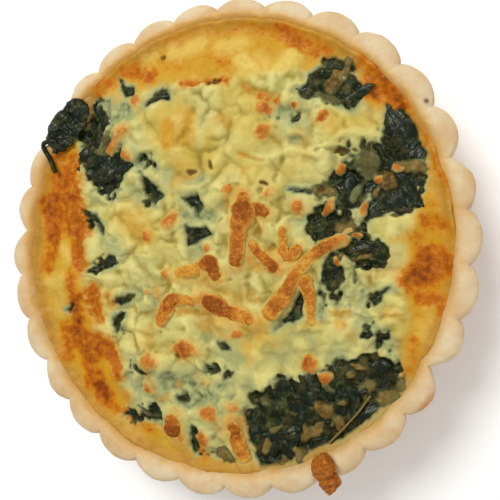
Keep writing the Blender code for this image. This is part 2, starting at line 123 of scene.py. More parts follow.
# Windows in the cheese where a leaf shows, named after the solid it stands for: its lift, and its outline.
WINDOWS = {
    "centre_upper": (0.0, (
        (-11.4, 12.2), (-9, 12), (-6.9, 12.7), (-5.6, 10.2), (-7, 8.7), (-9.3, 10.2))),
    "centre_lower": (0.0, (
        (-11.2, 5.1), (-8, 4.7), (-5, 5.1), (-3.2, 2.7), (-6, 2.1), (-9.8, 0.1), (-10.4, 2.8))),
    "left": (0.0, (
        (-22.3, 18), (-21.2, 17.2), (-20, 15), (-16.7, 14.3), (-18.8, 11.3), (-20.8, 12.4), (-22.6, 14.5))),
    "by_shreds": (0.0, (
        (19.3, -11.5), (20.3, -14), (19.7, -17.5), (17.5, -19), (15, -18.8), (13.6, -20.5), (14.5, -17.5),
        (17, -14.2))),
    "upper_left": (0.5, (
        (-45.5, 33.5), (-42, 37), (-36, 38.6), (-33.6, 35.6), (-35.4, 31.6), (-35, 28), (-32.6, 26),
        (-29, 24.6), (-26.2, 21.5), (-29.2, 18.4), (-33, 15), (-36, 17), (-40, 20.3), (-41.8, 24.5),
        (-41.8, 28.5), (-44.5, 31))),
    "rim_upper": (0.3, (
        (-44.7, 42.6), (-42, 42.2), (-40.5, 41), (-36, 40.8), (-34.5, 40), (-39.5, 39.4), (-43.5, 40.6))),
    "sliver_upper": (0.0, (
        (-30, 45.3), (-28.5, 43), (-26, 42.2), (-25.8, 40.4), (-28, 39.8), (-29, 42))),
    "hook": (0.0, (
        (-23, 36.9), (-20.5, 39), (-18.3, 40.2), (-17.2, 41.6), (-15.7, 41), (-14.8, 38), (-16.6, 38.6),
        (-18.6, 38.2), (-20.5, 37.8))),
    "left_band": (0.0, (
        (-33.6, -1.6), (-31.5, -2.2), (-30.2, -4.3), (-32, -4.7), (-35.6, -5.4), (-35, -3.5))),
    "left_low": (-0.2, (
        (-26, -30.2), (-24.2, -30.6), (-22.2, -31.6), (-21.4, -33.2), (-23, -33), (-25, -31.8))),
    "lower_left": (0.1, (
        (-24.3, -41.5), (-22.5, -42.4), (-20.5, -42.3), (-18.8, -40.7), (-17.2, -42.2), (-17, -44.6),
        (-19.5, -44.8), (-22, -43.6))),
    "bottom": (0.0, (
        (-8.6, -45.8), (-7, -47), (-6.8, -51), (-8, -52.2), (-9.3, -50), (-9, -47.5))),
    "upper_right": (0.1, (
        (27.3, 38.2), (30.5, 38.2), (32.5, 40.6), (35, 38), (34.8, 34.8), (32.5, 31.6), (30, 33.5),
        (28.5, 35.5))),
    "upper_right_fold": (0.0, (
        (19.3, 37.3), (21.5, 38.8), (23, 41.3), (25.5, 42.8), (25, 40.3), (27.2, 38.6), (25, 37),
        (22, 35.5), (20, 36.3))),
    "right_leaf": (0.5, (
        (40.3, 33), (42.5, 30.8), (45, 30.3), (47.5, 26.5), (49.6, 20.5), (49.3, 18.5), (46.5, 19),
        (44, 20), (40.8, 20.2), (40.2, 23), (40.5, 28.5))),
    "right_tail": (0.3, (
        (35.2, 5.1), (36.2, 9), (38.2, 12.2), (38.2, 16), (42, 17.4), (46, 16.4), (49.2, 16),
        (48.5, 13.2), (46.3, 10.7), (43, 8.5), (39, 6.5))),
    "right_inner": (0.0, (
        (30, 0.2), (34.5, 0), (38.5, -1), (38.8, -2.5), (36.5, -3.6), (33.5, -4.8), (31.5, -3.2),
        (28, -2), (26, -3.5), (28, -0.8))),
    "lower_tongue": (0.2, (
        (8.3, -36.6), (12.3, -36.5), (14.2, -33.2), (15.8, -32.8), (17, -35), (18.5, -40), (17, -46),
        (19, -53), (14, -54.5), (10.5, -54.3), (8.3, -51.5), (6, -46.8), (8.5, -45.4), (8.3, -41))),
    "lower_middle": (0.5, (
        (16, -36), (20.5, -36), (21, -33.6), (20.6, -31.6), (25, -33.6), (27.5, -33), (29, -36),
        (29.5, -42), (29.5, -47), (25.5, -48.6), (21.5, -50.6), (17, -53), (16, -45))),
    "lower_right": (0.3, (
        (27.8, -28), (30, -27), (31.5, -28.5), (34, -28.8), (36.5, -27.6), (39.5, -28.8), (42, -31.5),
        (44.5, -33.2), (42, -34.5), (40.5, -37), (38, -39), (34.5, -42.3), (31.5, -47), (28.5, -46),
        (27, -40), (26, -34), (28.3, -31))),
}

# Windows of the same form with small leaves that no solid stands for.
SMALL_LEAVES = {
    "grey_leaf": (0.0, (
        (28.6, 15.2), (31.5, 17), (35, 15.3), (36.2, 12.5), (34.5, 9), (31, 8.3), (29, 11))),
    "brown_leaf": (0.1, (
        (23.6, 5.6), (25.5, 8), (28.5, 8), (28, 5), (30, 3), (29.6, 0.8), (26.6, 1.5), (26, 4))),
    "black_leaf": (-0.1, (
        (25.2, -5.4), (26.5, -6.7), (29.6, -6.2), (29.8, -8.5), (27.3, -11.5), (25.2, -10.5))),
    "right_wisp": (-0.2, (
        (36, -12.5), (37, -14.3), (38.7, -13.8), (39.5, -12.2), (41.5, -10.8), (39, -11.3))),
    "top_wisp": (0.0, (
        (26, 44.6), (28.5, 44.2), (30.2, 42.8), (28, 42), (26.5, 43))),
    "top_dot": (0.0, (
        (31, 43.2), (34, 44.3), (34, 41.7), (32.5, 42.2))),
    "left_dash": (0.0, (
        (-31.3, -14), (-29, -12.8), (-26.3, -12.4), (-27, -14), (-29.5, -15.1))),
    "left_drop": (0.0, (
        (-29.9, -17.1), (-28.5, -17.5), (-29.8, -20), (-31, -22.8), (-31.8, -20.5), (-31.4, -18.8))),
    "custard_wisp": (0.1, (
        (-46.1, -16.8), (-44.2, -14.8), (-43.5, -15.5), (-45, -17.1))),
    "olive_scrap": (0.1, (
        (-27.5, -42.3), (-25.2, -42.9), (-24.2, -44.5), (-25.5, -46.1), (-26.8, -44.5))),
    "blue_scrap": (-0.2, (
        (-12.7, -38.5), (-10.5, -37.8), (-9.8, -39.2), (-12, -39.9))),
    "low_dot": (0.0, (
        (-1.5, -24.6), (0.7, -23.9), (1.2, -25.6), (-0.8, -25.9))),
    "low_dash": (-0.1, (
        (-5.2, -30.2), (-3, -30.4), (-3.3, -31.8), (-5.3, -31.9))),
    "low_wisp": (-0.2, (
        (0, -33.2), (1.2, -30.8), (2.8, -31.2), (2.4, -32.4))),
    "left_vein": (-0.1, (
        (-42, 10.6), (-39.6, 10), (-37.6, 8.8), (-35.8, 6), (-34.8, 3), (-36, 4.4), (-37.6, 6.6),
        (-40, 8.8))),
    "slit": (0.0, (
        (17.2, 13.8), (20, 13.6), (22.6, 13.6), (22.2, 12.2), (20, 12.9))),
}

# Browning on the custard: strokes from x, y to x, y, with a radius and a strength.
BROWNING = (
    (-47, 22, -47, 12, 5.4, 0.95), (-50.5, 13, -51, 3, 3.2, 1.2), (-46, 14, -43.5, 5, 4.4, 1.0),
    (-51, 4, -51.8, -5, 2.6, 0.9), (-43.6, 5, -42.5, -4, 2.8, 0.9), (-43, 19, -43, 13, 2.0, 0.95),
    (-44, -8.5, -42.5, -14, 2.4, 0.9), (-42.7, -14, -42.7, -20, 2.4, 1.15),
    (-38, -12, -36.5, -18, 2.4, 0.9), (-47, -21, -45, -29, 1.9, 0.85), (-44, -23, -36, -27, 3.2, 1.05),
    (-36, -24, -33, -28, 2.0, 1.0), (-40, -28, -37, -36, 2.5, 1.35), (-37, -34, -33.7, -39.5, 2.4, 1.5),
    (-32, -28, -30.5, -34, 1.8, 0.95), (-33, -12.6, -31, -14, 1.4, 0.65),
    (-33, -41, -27, -44.3, 1.2, 0.75), (-25, -46.3, -20, -47.6, 1.3, 0.8), (46.7, 31, 49, 25.5, 0.9, 0.8),
    (49.6, 25, 51.6, 18, 1.0, 0.9), (51.6, 17, 55.4, 12, 1.1, 1.0), (55.5, 12, 57, 9.5, 1.2, 1.05),
    (46.5, 9, 51, 8, 1.7, 0.6), (50, 5, 52.6, 3.4, 2.4, 0.9), (56, 3.5, 56.5, 1.5, 1.5, 0.85),
    (47, 2, 49, -4, 1.8, 0.6), (50, -3, 54, -5, 3.0, 0.95), (45.5, -8, 51, -7, 2.8, 1.2),
    (45.5, -9, 47.5, -13, 1.5, 1.1), (49, -12, 53, -14, 2.5, 0.75), (47.5, -16, 49, -18, 1.3, 0.5),
    (46.6, -22, 46.2, -30, 1.1, 0.75), (37, 38.5, 37.8, 35.3, 2.0, 1.05), (39, 41, 44, 33, 3.0, 0.9),
    (43, 36, 44.5, 31.5, 1.9, 1.1), (35, 43, 39.5, 44.5, 2.2, 0.6), (16, 52, 22, 48, 2.4, 0.9),
    (20, 49.5, 26.5, 46.3, 1.8, 1.0), (2, 53.8, 8, 55.3, 0.9, 0.7), (8, 55.2, 14.5, 50.6, 0.9, 0.8),
    (-10, 41.7, -4, 41.5, 0.7, 1.0), (-4, 41.8, 1.8, 41, 0.7, 1.1), (5.5, 40.5, 10, 37, 0.9, 0.75),
    (10.5, 36.6, 14, 36, 0.8, 1.0), (0, 46.2, 4, 45, 2.0, 0.5), (0.5, 49.3, 2.5, 49, 1.2, 0.55),
    (-13, 50, -12, 46, 1.3, 0.45), (-24, 46.8, -21, 44.8, 2.4, 1.1), (-28, 46.3, -24, 46.6, 1.2, 1.0),
    (-32, 47.2, -28, 47.6, 1.4, 0.6), (-36.5, 43, -32, 43.8, 1.8, 0.9),
    (-39.5, 41.8, -36, 42.2, 0.9, 0.8), (-12, 50, 8, 50, 6.5, 0.35), (-6.6, -49.8, -5, -53, 0.9, 0.8),
    (-28.5, -38.8, -27, -38.8, 1.0, 0.6), (-53.5, 13.5, -53.5, 12.5, 0.7, 1.5),
)

# Golden toasting on the cheese, as strokes of the same form.
TOASTING = (
    (-14.6, 31, -14.4, 27, 2.2, 0.85), (-10, 33, -9, 28, 3.0, 0.6), (-12.5, 22.5, -11.5, 20.5, 2.0, 0.4),
    (-1, 32.2, 1.5, 31.5, 1.6, 0.5), (4.4, 23, 7, 22.4, 0.4, 1.1), (7, 22.4, 10, 20.8, 0.4, 0.9),
    (5.6, 18.8, 6, 18.6, 1.1, 0.5), (-12.5, 17, -9, 18.2, 1.5, 0.6), (-24, 10.3, -23.8, 9.6, 1.4, 0.6),
    (-25.5, 6.4, -24, 5.4, 2.6, 0.5), (15.8, 4, 15.4, 1, 0.9, 0.7), (8, -12.8, 8.6, -13.4, 1.1, 0.6),
    (-4, -19.5, 2, -20.5, 3.0, 0.5), (6, -24.5, 7.4, -28.5, 1.5, 0.5), (10, -22, 13, -24, 1.2, 0.4),
    (28.8, -18.8, 30.4, -18.8, 0.9, 0.8), (31.8, -21.2, 32.2, -22.2, 1.1, 0.55),
    (-21, -22, -22.4, -26, 2.0, 0.4), (-17.8, -38.7, -15.2, -38.4, 1.0, 0.6), (0, -45, 3, -44, 2.8, 0.4),
    (-5.6, -34, -4.6, -34.6, 1.0, 0.6), (-7.5, -33.4, -7, -33.8, 1.2, 0.4),
    (-13, -35, -12.8, -35.6, 0.7, 0.8), (40.6, -16.2, 43.4, -17.6, 0.5, 0.9),
    (27, -16.6, 31, -16.2, 0.45, 0.8), (21, -19.4, 24, -19.4, 0.4, 0.8), (20, 27.6, 21.4, 25.4, 1.6, 0.4),
    (36.5, 29, 35.8, 30.2, 0.9, 0.4), (38, -5, 44, -5, 3.4, 0.35), (20.6, 22, 17, 18, 2.0, 0.25),
    (-7, -10.6, 6, -13.2, 2.2, 0.35), (-30, 8, -27, 11, 2.0, 0.3), (44.5, 0.4, 41.6, 0.4, 0.4, 0.9),
    (-22, -31.5, -19.6, -36, 1.6, 0.45), (-36.5, -3.4, -35, -5, 0.6, 0.8),
    (-19, -11, -18.4, -13, 1.2, 0.7), (42, 36.2, 40.6, 33.2, 1.4, 0.5), (8, -3, 19, -4.4, 3.0, 0.6),
    (-14, -7.4, -1, -7.4, 2.4, 0.5), (-17, -17, -7, -14.6, 2.4, 0.55), (-5, -15.6, 9, -19.6, 2.8, 0.6),
    (3, 12, 8.6, 5, 2.6, 0.5), (12, 26.4, 16, 25.6, 0.8, 0.3),
)

# A green or bluish cast where a leaf lies just under the cheese, as strokes of the same form.
VEILS = (
    (-9, 15, -6, 15.5, 3.0, 0.7), (-2.5, 11.5, -4, 6, 2.6, 0.7), (-9, -0.8, -6, -1, 2.0, 0.8),
    (-12, 8, -5, 7.6, 2.0, 0.8), (-35, 37, -29.5, 36, 3.8, 1.1), (-32, 28, -33, 27, 3.0, 0.5),
    (-26, 24, -20, 18, 3.4, 0.8), (-18.5, 16.6, -16, 18, 1.6, 0.9), (-27, 15, -24, 13, 2.4, 0.5),
    (-37, 14, -40, 17, 2.2, 0.6), (16, 33, 19, 28, 3.0, 0.8), (22, 34, 27, 36, 2.4, 0.6),
    (27.5, 17, 26, 20, 2.2, 0.6), (24, 13.6, 19, 11.6, 1.8, 0.6), (20, 4.6, 24, 2, 2.6, 0.7),
    (33, 20, 36, 17, 3.0, 0.8), (34, 1.6, 39, 1.2, 1.8, 0.4), (33, -6, 31, -11, 2.4, 0.5),
    (23.8, -13, 24.6, -17, 1.8, 0.9), (36, -15.6, 34, -16.4, 1.8, 0.6), (3, -33, 8, -42, 3.6, 0.8),
    (4, -43.4, 7, -44.4, 1.6, 0.5), (-24, -11.6, -19, -14.2, 2.6, 0.7), (-33, 1, -30, -1.6, 2.0, 0.9),
    (-27, -29, -24.6, -28.6, 1.6, 0.6), (-10, -40.6, -9, -43.4, 1.6, 0.8),
    (-1, -27, 0.6, -28.4, 2.2, 0.6), (36, -19, 40, -26, 3.0, 0.7), (30, -25, 26, -27, 2.4, 0.5),
    (24, -30, 25.6, -29, 1.2, 0.5), (-43, 38, -36, 38.6, 1.6, 0.5), (40, 4, 43, 3.4, 2.6, 0.3),
    (-6, -22.4, -3, -23.6, 1.6, 0.6), (-24, -35, -2, -38, 6.0, 0.75), (14, -26, 36, -22, 4.0, 0.45),
    (-4, -46, 6, -40, 4.0, 0.55),
)

# Where leaves break through thin cheese: strokes with a radius and the share that is leaf.
LEAFY = (
    (-37, 34, -31, 21, 5.0, 0.5), (-23, 22, -20, 18, 3.0, 0.35), (-24, 16, -22, 12, 1.8, 0.2),
    (-41, 9, -35, 5, 2.0, 0.25), (-34, -3, -39, -6, 1.8, 0.25), (-47, 36, -40, 39, 3.6, 0.8),
    (-41, 24, -32, 16, 3.4, 0.6), (-24, 41, -17, 40, 2.4, 0.2), (38, 18, 44, 13, 6.0, 0.75),
    (29, 12, 33, 16, 4.5, 0.7), (25, 4, 28, -1, 4.0, 0.55), (27, 7, 33, 3, 4.0, 0.6),
    (34, 22, 38, 17, 3.5, 0.55), (33, -1, 37, -3, 4.0, 0.6), (27, -7, 27, -12, 3.0, 0.65),
    (30, -8, 33, -13, 3.0, 0.35), (26, 38.5, 31, 36.5, 4.2, 0.55), (28, 43, 33, 43, 2.2, 0.45),
    (13, 34, 18, 31, 2.6, 0.3), (19, 12, 23, 13, 2.0, 0.25), (36, -13, 39, -13, 2.0, 0.3),
    (16, -19, 21, -13, 2.2, 0.4), (-24, -42, -18, -43, 3.0, 0.4), (-26, -31, -22, -33, 2.0, 0.25),
    (-27, -44, -24, -45, 2.2, 0.35), (-8, -46, -8, -52, 1.8, 0.35), (-4, -51, 5, -53, 2.4, 0.25),
    (10, -38, 28, -32, 4.0, 0.5), (22, -42, 36, -36, 9.0, 0.95), (38, -30, 42, -34, 5.0, 0.75),
    (37, -21, 40, -27, 3.5, 0.35), (10, -45, 17, -52, 5.5, 0.9), (-31, -16, -30, -22, 1.8, 0.3),
    (-6, -31, 2, -32, 2.0, 0.2),
)

# Where the cheese has melted smooth and golden, as strokes of the same form.
MELTED = (
    (-14, 31, -8, 24, 7.5, 1.0), (-20, 35, -12, 37, 4.0, 0.7), (4, 37, 8, 29, 5.0, 0.7),
    (-27, 7, -22, 3, 4.5, 1.0), (31, 28, 38, 25, 4.0, 0.8), (5, -24, 22, -24, 4.0, 0.8),
    (2, 22, 8, 17, 4.0, 0.6), (-16, -28, -12, -32, 4.0, 0.4), (44, -22, 40, -16, 3.5, 0.6),
    (0, 42, 6, 42, 3.0, 0.7), (36, 3, 43, 4, 3.0, 0.5),
)

# Bulges in the custard, painted pale as a highlight, as strokes of the same form.
BULGES = (
    (-13, 50.5, -6, 52, 2.6, 0.9), (0, 50.6, 6, 50.6, 2.2, 0.9), (5.6, 46, 9, 41, 2.6, 1.0),
    (-22, 49, -18, 52, 2.4, 0.6), (-34, 42, -29, 41, 2.2, 0.5), (10, 47, 12, 44, 2.0, 0.6),
    (-52, -9, -47, -9, 2.2, 0.7), (-47.5, 0, -45.5, -3, 1.4, 0.8), (55.5, 6, 55.8, 4, 1.6, 0.7),
    (43, -3, 42.6, -6, 2.2, 0.5), (49, -20, 50, -16, 2.0, 0.5), (-30, -46, -24, -50, 1.8, 0.6),
    (43, 11, 47, 8, 2.4, 0.7), (52, 15, 51.4, 20, 1.4, 0.6), (-48, -17, -47.5, -13, 1.8, 0.5),
    (17.8, 45.4, 14.2, 40, 2.6, 1.3),
)

# Bits of cheese that lie among the leaves: x, y, half length, half width, turn, and how tan.
ISLANDS = (
    (24.8, -39.4, 2.3, 1.9, 10, 0.85), (29.3, -37.6, 0.6, 0.6, 0, 0.6), (22.4, -45, 2.8, 1.5, 50, 0.9),
    (28.9, -42.6, 2.1, 1.2, -60, 1.0), (36, -33.8, 2.4, 1.4, 62, 0.55), (40.6, -35.6, 2.2, 1.8, 10, 0.65),
    (18.6, -49.4, 1.2, 3.2, 35, 0.8), (15.2, -52, 1.0, 0.6, 30, 1.0), (10.6, -49, 1.0, 2.4, -20, 0.7),
    (33.6, -28.9, 2.0, 0.8, -15, 0.8), (10.2, -38.8, 1.3, 1.0, 0, 0.4), (13.5, -44.6, 2.2, 0.8, 20, 0.6),
    (31.8, -31.2, 1.4, 1.0, 30, 0.6), (26.4, -34.8, 1.6, 0.6, -20, 0.3), (43.6, -32, 1.0, 1.4, 0, 0.6),
    (46, 17.8, 3.8, 1.3, -14, 0.8), (36.2, 19.6, 2.2, 3.6, -12, 0.35), (26, 12.8, 2.8, 1.6, -20, 0.65),
    (41, 15.3, 2.0, 1.6, -30, 1.3), (38.4, 12.6, 1.5, 0.7, 70, 0.7), (30.6, 3.8, 3.6, 1.5, -20, 0.8),
    (33.6, 11.8, 0.9, 2.2, -20, 0.2), (28.6, 38.4, 1.8, 2.6, -20, 1.15), (26.6, 35.2, 3.2, 1.0, -20, 0.3),
    (31.8, 42.2, 0.8, 2.2, 0, 0.7), (-33.8, 28.6, 2.4, 3.2, -20, 0.3), (-40.4, 37.2, 2.0, 1.7, 0, 0.6),
    (-39.8, 33, 1.2, 0.8, 40, 0.5), (-36.4, 21.6, 1.6, 0.7, 50, 0.3), (-21.4, -43.4, 2.0, 0.5, -10, 0.5),
    (34.6, -4, 1.6, 0.6, 10, 0.8), (29.4, -3.6, 1.0, 0.6, 40, 1.3), (1, -51.4, 2.4, 1.3, 20, 0.7),
)

# Brown specks and small deep holes in the cheese, both painted dark, the specks in their own brown and the
# holes with painted shade: x, y, half length, half width, turn, depth.
HOLES = (
    (30.2, 21.8, 1.7, 0.95, -8, 1.8), (-9, 19.2, 1.2, 0.6, 20, 0.5), (-3.6, 20.6, 0.7, 0.8, 0, 0.6),
    (10.4, 15, 0.9, 0.5, -12, 0.9), (42, 6.3, 1.1, 0.5, -10, 0.9), (-17.2, -22, 0.35, 0.3, 0, 0.2),
    (-1.4, 41, 1.2, 0.7, 0, 0.9), (-16, 49.4, 0.9, 0.6, 0, 0.4), (-6.9, -37.4, 0.3, 0.8, 20, 0.4),
    (-12.8, -28, 1.0, 0.7, -20, 0.5), (-42.8, -19.2, 0.5, 0.5, 0, 0.3), (36.6, 22.4, 0.8, 0.8, 0, 0.7),
    (24.6, 13.6, 1.0, 0.7, 0, 0.5), (33.6, 21.8, 0.8, 0.5, 20, 0.5), (-3.6, 40.6, 0.9, 0.7, 0, 0.7),
)

# Folds and strands that stand out of the cheese: x, y to x, y, half width, height, bend.
STRANDS = (
    (17, 45.3, 13.6, 39, 2.3, 1.1, 0.0), (4.6, 43, 3, 40.6, 2.2, 1.0, 0.0),
    (-9.4, 40.8, -5.4, 40.2, 1.2, 0.8, 0.0), (23, 23.4, 31, 26, 1.4, 1.0, -0.8),
    (31, 26, 39.5, 24.8, 1.5, 1.0, 0.9), (18, 27, 24.6, 24.6, 1.5, 0.9, 0.6),
    (15, 22.4, 24, 21.2, 1.6, 0.8, 0.9), (26.4, 24.4, 24.8, 20.6, 1.2, 0.9, 0.0),
    (36.2, 2.8, 33.4, 3.4, 1.5, 0.9, 0.0), (42, 4.8, 41.6, 2.6, 2.4, 0.9, 0.0),
    (30.8, -14, 33.2, -13.6, 1.1, 0.6, 0.0), (-1.6, 11.6, -3.4, 10.8, 2.4, 1.1, 0.0),
    (-9.4, 15.4, -6.4, 15, 2.5, 1.1, 0.0), (10.6, 2, 9.4, 6.6, 1.4, 0.9, 0.0),
    (12.4, 1.4, 12.8, 6.4, 1.4, 0.9, 0.3), (36.8, -4.4, 37.4, -9, 0.8, 0.7, 0.2),
    (28, 40.6, 25, 38.2, 1.2, 0.8, 0.0), (24.6, 44.6, 22.4, 43.8, 1.3, 0.8, 0.0),
    (-30.4, 10, -26, 2, 3.0, 0.7, 0.0), (-24, -5, -20, -9, 3.0, 0.6, 0.0),
    (-33, -9, -24, -9, 2.0, 0.6, 0.4), (44, -16, 38, -19, 2.0, 0.7, 0.0),
    (47.6, -19.4, 43, -21.4, 2.2, 0.6, 0.0), (24, -22, 31, -20, 3.0, 0.6, 0.0),
    (-15, 36, -9, 38, 2.4, 0.6, 0.0), (-2, 37, 6, 36, 3.0, 0.6, 0.0), (5, 31, 7, 26, 3.2, 0.6, 0.0),
    (-19, 33, -18, 25, 2.4, 0.5, 0.0), (-6, 27, -7, 33, 2.0, 0.5, 0.0),
)

# Creases between folds, as strokes with a radius and a depth.
CREASES = (
    (27, -16.6, 31.6, -16.2, 0.4, 0.5), (31.6, -16.2, 35, -18, 0.4, 0.5), (35, -18, 40, -16.6, 0.4, 0.4),
    (40, -16.6, 43.6, -18, 0.4, 0.5), (24, 23, 29, 22.6, 0.4, 0.5), (4.4, 23, 10.6, 20.4, 0.35, 0.4),
    (21.4, -19.2, 27, -19, 0.35, 0.4), (12.4, 9.6, 13, 5.4, 0.4, 0.5), (8.2, 7, 8.6, 3, 0.4, 0.6),
    (-1.4, -9.6, 1.6, -8.6, 0.4, 0.5), (-10, -8.6, -6.4, -8.2, 0.35, 0.4), (0, 15.6, 5.4, 14.8, 0.4, 0.5),
    (15.6, 7.4, 20.4, 6.6, 0.4, 0.5), (-34, 4, -31.4, 1.2, 0.5, 0.4), (-30, -2.4, -21, -2, 0.35, 0.3),
    (26, -21, 17, -22, 0.35, 0.3), (-7.4, -36, -5.4, -34.8, 0.3, 0.4), (11, 31, 14, 28.6, 0.4, 0.4),
)

# Browned lumps of cheese: x, y, radius, stretch, turn, and how brown.
LUMPS_OF_CHEESE = (
    (1.5, 13.6, 1.25, 1.3, 80, 0.75), (13, 13.2, 1.6, 1.4, 40, 0.55), (18.8, 8.7, 1.7, 1.25, 110, 0.8),
    (-15, 6.6, 2.0, 1.2, 60, 0.85), (-20.3, 2.5, 1.7, 1.2, 0, 0.75), (-4.8, -0.6, 1.2, 1.1, 0, 0.8),
    (-15.6, -6.8, 1.3, 1.1, 90, 0.65), (4, -21.8, 1.3, 1.3, 20, 0.85), (10.3, 34, 1.6, 1.25, -15, 0.9),
    (11.4, 28.4, 1.8, 1.1, 30, 0.85), (25, 30.6, 1.3, 1.2, 40, 0.95), (27, 27.6, 2.4, 1.1, 0, 0.3),
    (18.8, 33.6, 0.6, 1.6, -60, 0.9), (29.6, 17.6, 1.0, 1.1, 0, 0.8), (26.6, 9, 1.0, 1.9, 50, 0.95),
    (38.6, 15.4, 0.8, 1.3, -20, 0.7), (35.4, 7.6, 0.7, 2.8, 78, 0.65), (-24.6, 37.8, 1.6, 1.3, -40, 0.7),
    (-28.5, 31, 2.2, 1.3, 0, 0.55), (-31, 27.6, 1.5, 1.4, 50, 0.55), (-26.8, 24.6, 1.5, 1.1, 0, 0.5),
    (-40.6, 37.4, 1.9, 1.1, 90, 0.5), (22.2, -28.8, 1.8, 1.1, 0, 1.0), (25.8, -32.2, 1.25, 1.2, 0, 0.85),
    (-20.4, -30, 1.9, 1.3, 10, 0.75), (-9.4, -26.4, 2.4, 1.6, -10, 1.05), (-21, -36, 1.1, 1.5, -60, 0.7),
    (-4, -42.2, 1.8, 1.3, -20, 0.9), (-4.6, -48.6, 1.7, 1.3, -70, 0.85), (2, -40, 1.4, 1.5, 0, 0.6),
    (-26.5, -38.8, 1.2, 1.8, 0, 0.5), (-22, -11.8, 0.9, 1.3, 0, 0.6), (31.4, 3.4, 0.5, 1.8, 0, 0.35),
    (33.6, 2.2, 0.5, 1.8, -10, 0.8), (28.4, -4.2, 0.55, 1.5, -60, 0.8), (43.4, 17.8, 0.7, 1.5, -20, 0.5),
    (-48, 34, 1.2, 1.5, -30, 0.3),
)
LUMP_FLATNESS = 0.62
LUMP_GROWTH = 1.25
LUMP_TIP_STEP = 137

# Long shreds of browned cheese, named after their solids, as paths of x, y, half width, how brown.
SHREDS = {
    "upright": (
        (5.9, 13.2, 1.3, 0.9), (5.8, 11.2, 1.5, 0.95), (5.6, 8.9, 3.0, 0.75), (5.0, 6.4, 2.8, 0.7),
        (4.2, 3.6, 1.95, 0.8), (3.9, -1, 1.85, 0.85), (3.6, -5.4, 1.8, 0.95)),
    "arm": (
        (7.4, 9.2, 1.6, 0.7), (9.6, 8.7, 1.7, 0.8), (12.2, 7.4, 1.0, 0.7)),
    "cross": (
        (6.8, 1.2, 0.9, 0.55), (9, -1.4, 1.2, 0.7), (11.6, -4, 1.35, 0.8), (14.2, -6.3, 1.6, 1.1)),
    "vee": (
        (15.3, 4.6, 0.9, 0.4), (15.1, 1, 1.1, 0.45), (15.6, -2.3, 1.25, 0.5), (17.4, -2.9, 1.3, 0.6),
        (19.7, -0.2, 1.1, 0.6)),
    "branch": (
        (20.2, -7, 1.3, 0.6), (21.5, -11, 1.45, 0.75), (22.4, -15.5, 1.0, 0.55), (22.9, -19.6, 0.9, 0.35)),
    "long": (
        (11.2, -18, 1.8, 0.35), (14.4, -14, 2.0, 0.7), (17.2, -9.8, 1.7, 0.65), (19.7, -6, 1.5, 0.4),
        (22.2, -3.4, 1.35, 0.35), (25.6, -0.8, 1.4, 0.7), (30.4, 1, 0.8, 0.5)),
    "left": (
        (-13.4, -7, 1.4, 0.25), (-9.6, -6.4, 1.6, 0.4), (-6, -6, 1.5, 0.35)),
    "crook": (
        (-6.6, -5.2, 1.2, 0.8), (-3.8, -4.3, 2.1, 1.0), (-2.6, -6.2, 1.6, 0.9), (-1.6, -8.8, 1.3, 0.7)),
    "bent": (
        (-17.7, -20.6, 1.2, 0.5), (-16, -17, 1.8, 0.65), (-14, -14.2, 1.9, 0.75),
        (-10.4, -13.7, 1.2, 0.45), (-7.4, -14.3, 0.9, 0.35)),
    "low": (
        (-5.6, -13.3, 1.5, 0.9), (-2.4, -14.6, 2.3, 1.15), (1, -16.6, 1.9, 0.75), (4.6, -17.4, 2.0, 0.6),
        (8.4, -18.7, 1.2, 0.5)),
    "curl": (
        (-13, -42.9, 1.5, 0.6), (-14, -45.4, 2.2, 0.95), (-12.5, -48.4, 1.9, 1.15)),
    "bottom": (
        (2.2, -43.6, 1.5, 0.75), (3, -46.6, 2.0, 0.75), (4.6, -50, 1.9, 0.5), (6.2, -53.4, 1.5, 0.3)),
}
SHREDS_WITHOUT_SOLID = ("crook",)

# The crumpled leaf on the rim and the two thin stems, as the lines through their middles.
RIM_LEAF_PATH = ((-51.2, 27.6), (-49.4, 31.6), (-46, 36), (-41.6, 40.4))
STEM_PATH = ((-51.5, 21.5), (-53, 25), (-54.6, 29.3), (-51.2, 29.9), (-51.6, 26.8))
STEM_DIAMETER = 1.1
LOW_STEM_PATH = ((26.8, -47), (29, -44.6), (31.6, -41.8), (34, -39), (36.4, -35.6))
LOW_STEM_DIAMETER = 0.48

# The two lobes of the crumb on the rim: x, y, radius.
CRUMB_LOBES = ((25.5, -53, 2.7), (26.5, -56.4, 2.3))

# How far above the plan's level the things on the rim lie, and how far out any leaf in the filling goes.
RIM_LIFT = 4.7
CRUMB_LIFT = 5.9
REACH_OF_LEAVES = 54.2

# The heights of the case's hidden floor and the filling's underside, and how far the filling is let in.
HIDDEN_FLOOR = 14.0
UNDERSIDE = 15.0
LET_IN = 0.9

# The wide and the small folds of the cheese: how wide they are and how high they stand.
WIDE_FOLD = 10.5
WIDE_FOLD_HEIGHT = 1.5
SMALL_FOLD = 5.0
SMALL_FOLD_HEIGHT = 1.05

# Half melted strands in the cheese, thick and thin: the ranges of their length, half width and height.
THICK_STRAND = ((3, 12), (1.2, 2.4), (0.5, 1.2))
THIN_STRAND = ((1.5, 7), (0.6, 1.2), (0.12, 0.32))

# How deep the leaf in a gap lies, how far its wrinkles rise, and how the filling climbs at the wall.
GAP_DEPTH = 1.1
GAP_WRINKLE = 0.7
CLIMB = 1.3
CLIMB_RUN = 1.6

# Chopped scraps: how many places are tried, and the ranges of their half length and half width.
SCRAP_TRIES = 900
SCRAP_LENGTH = (2.4, 6.0)
SCRAP_WIDTH = (1.1, 2.8)

# The rim leaf's half width, and how far it and the stem stand off the rim.
RIM_LEAF_HALF_WIDTH = 4.3
OFF_THE_RIM = 0.7

# The steps along a shred and along what lies on the rim.
SHRED_STEP = 0.2
RIM_STEP = 0.25

# The width of a leaf's mesh cells, the margin round its outline, and a chopped scrap's thickness.
LEAF_STEP = 0.22
LEAF_MARGIN = 1.3
SCRAP_THICKNESS = 0.22

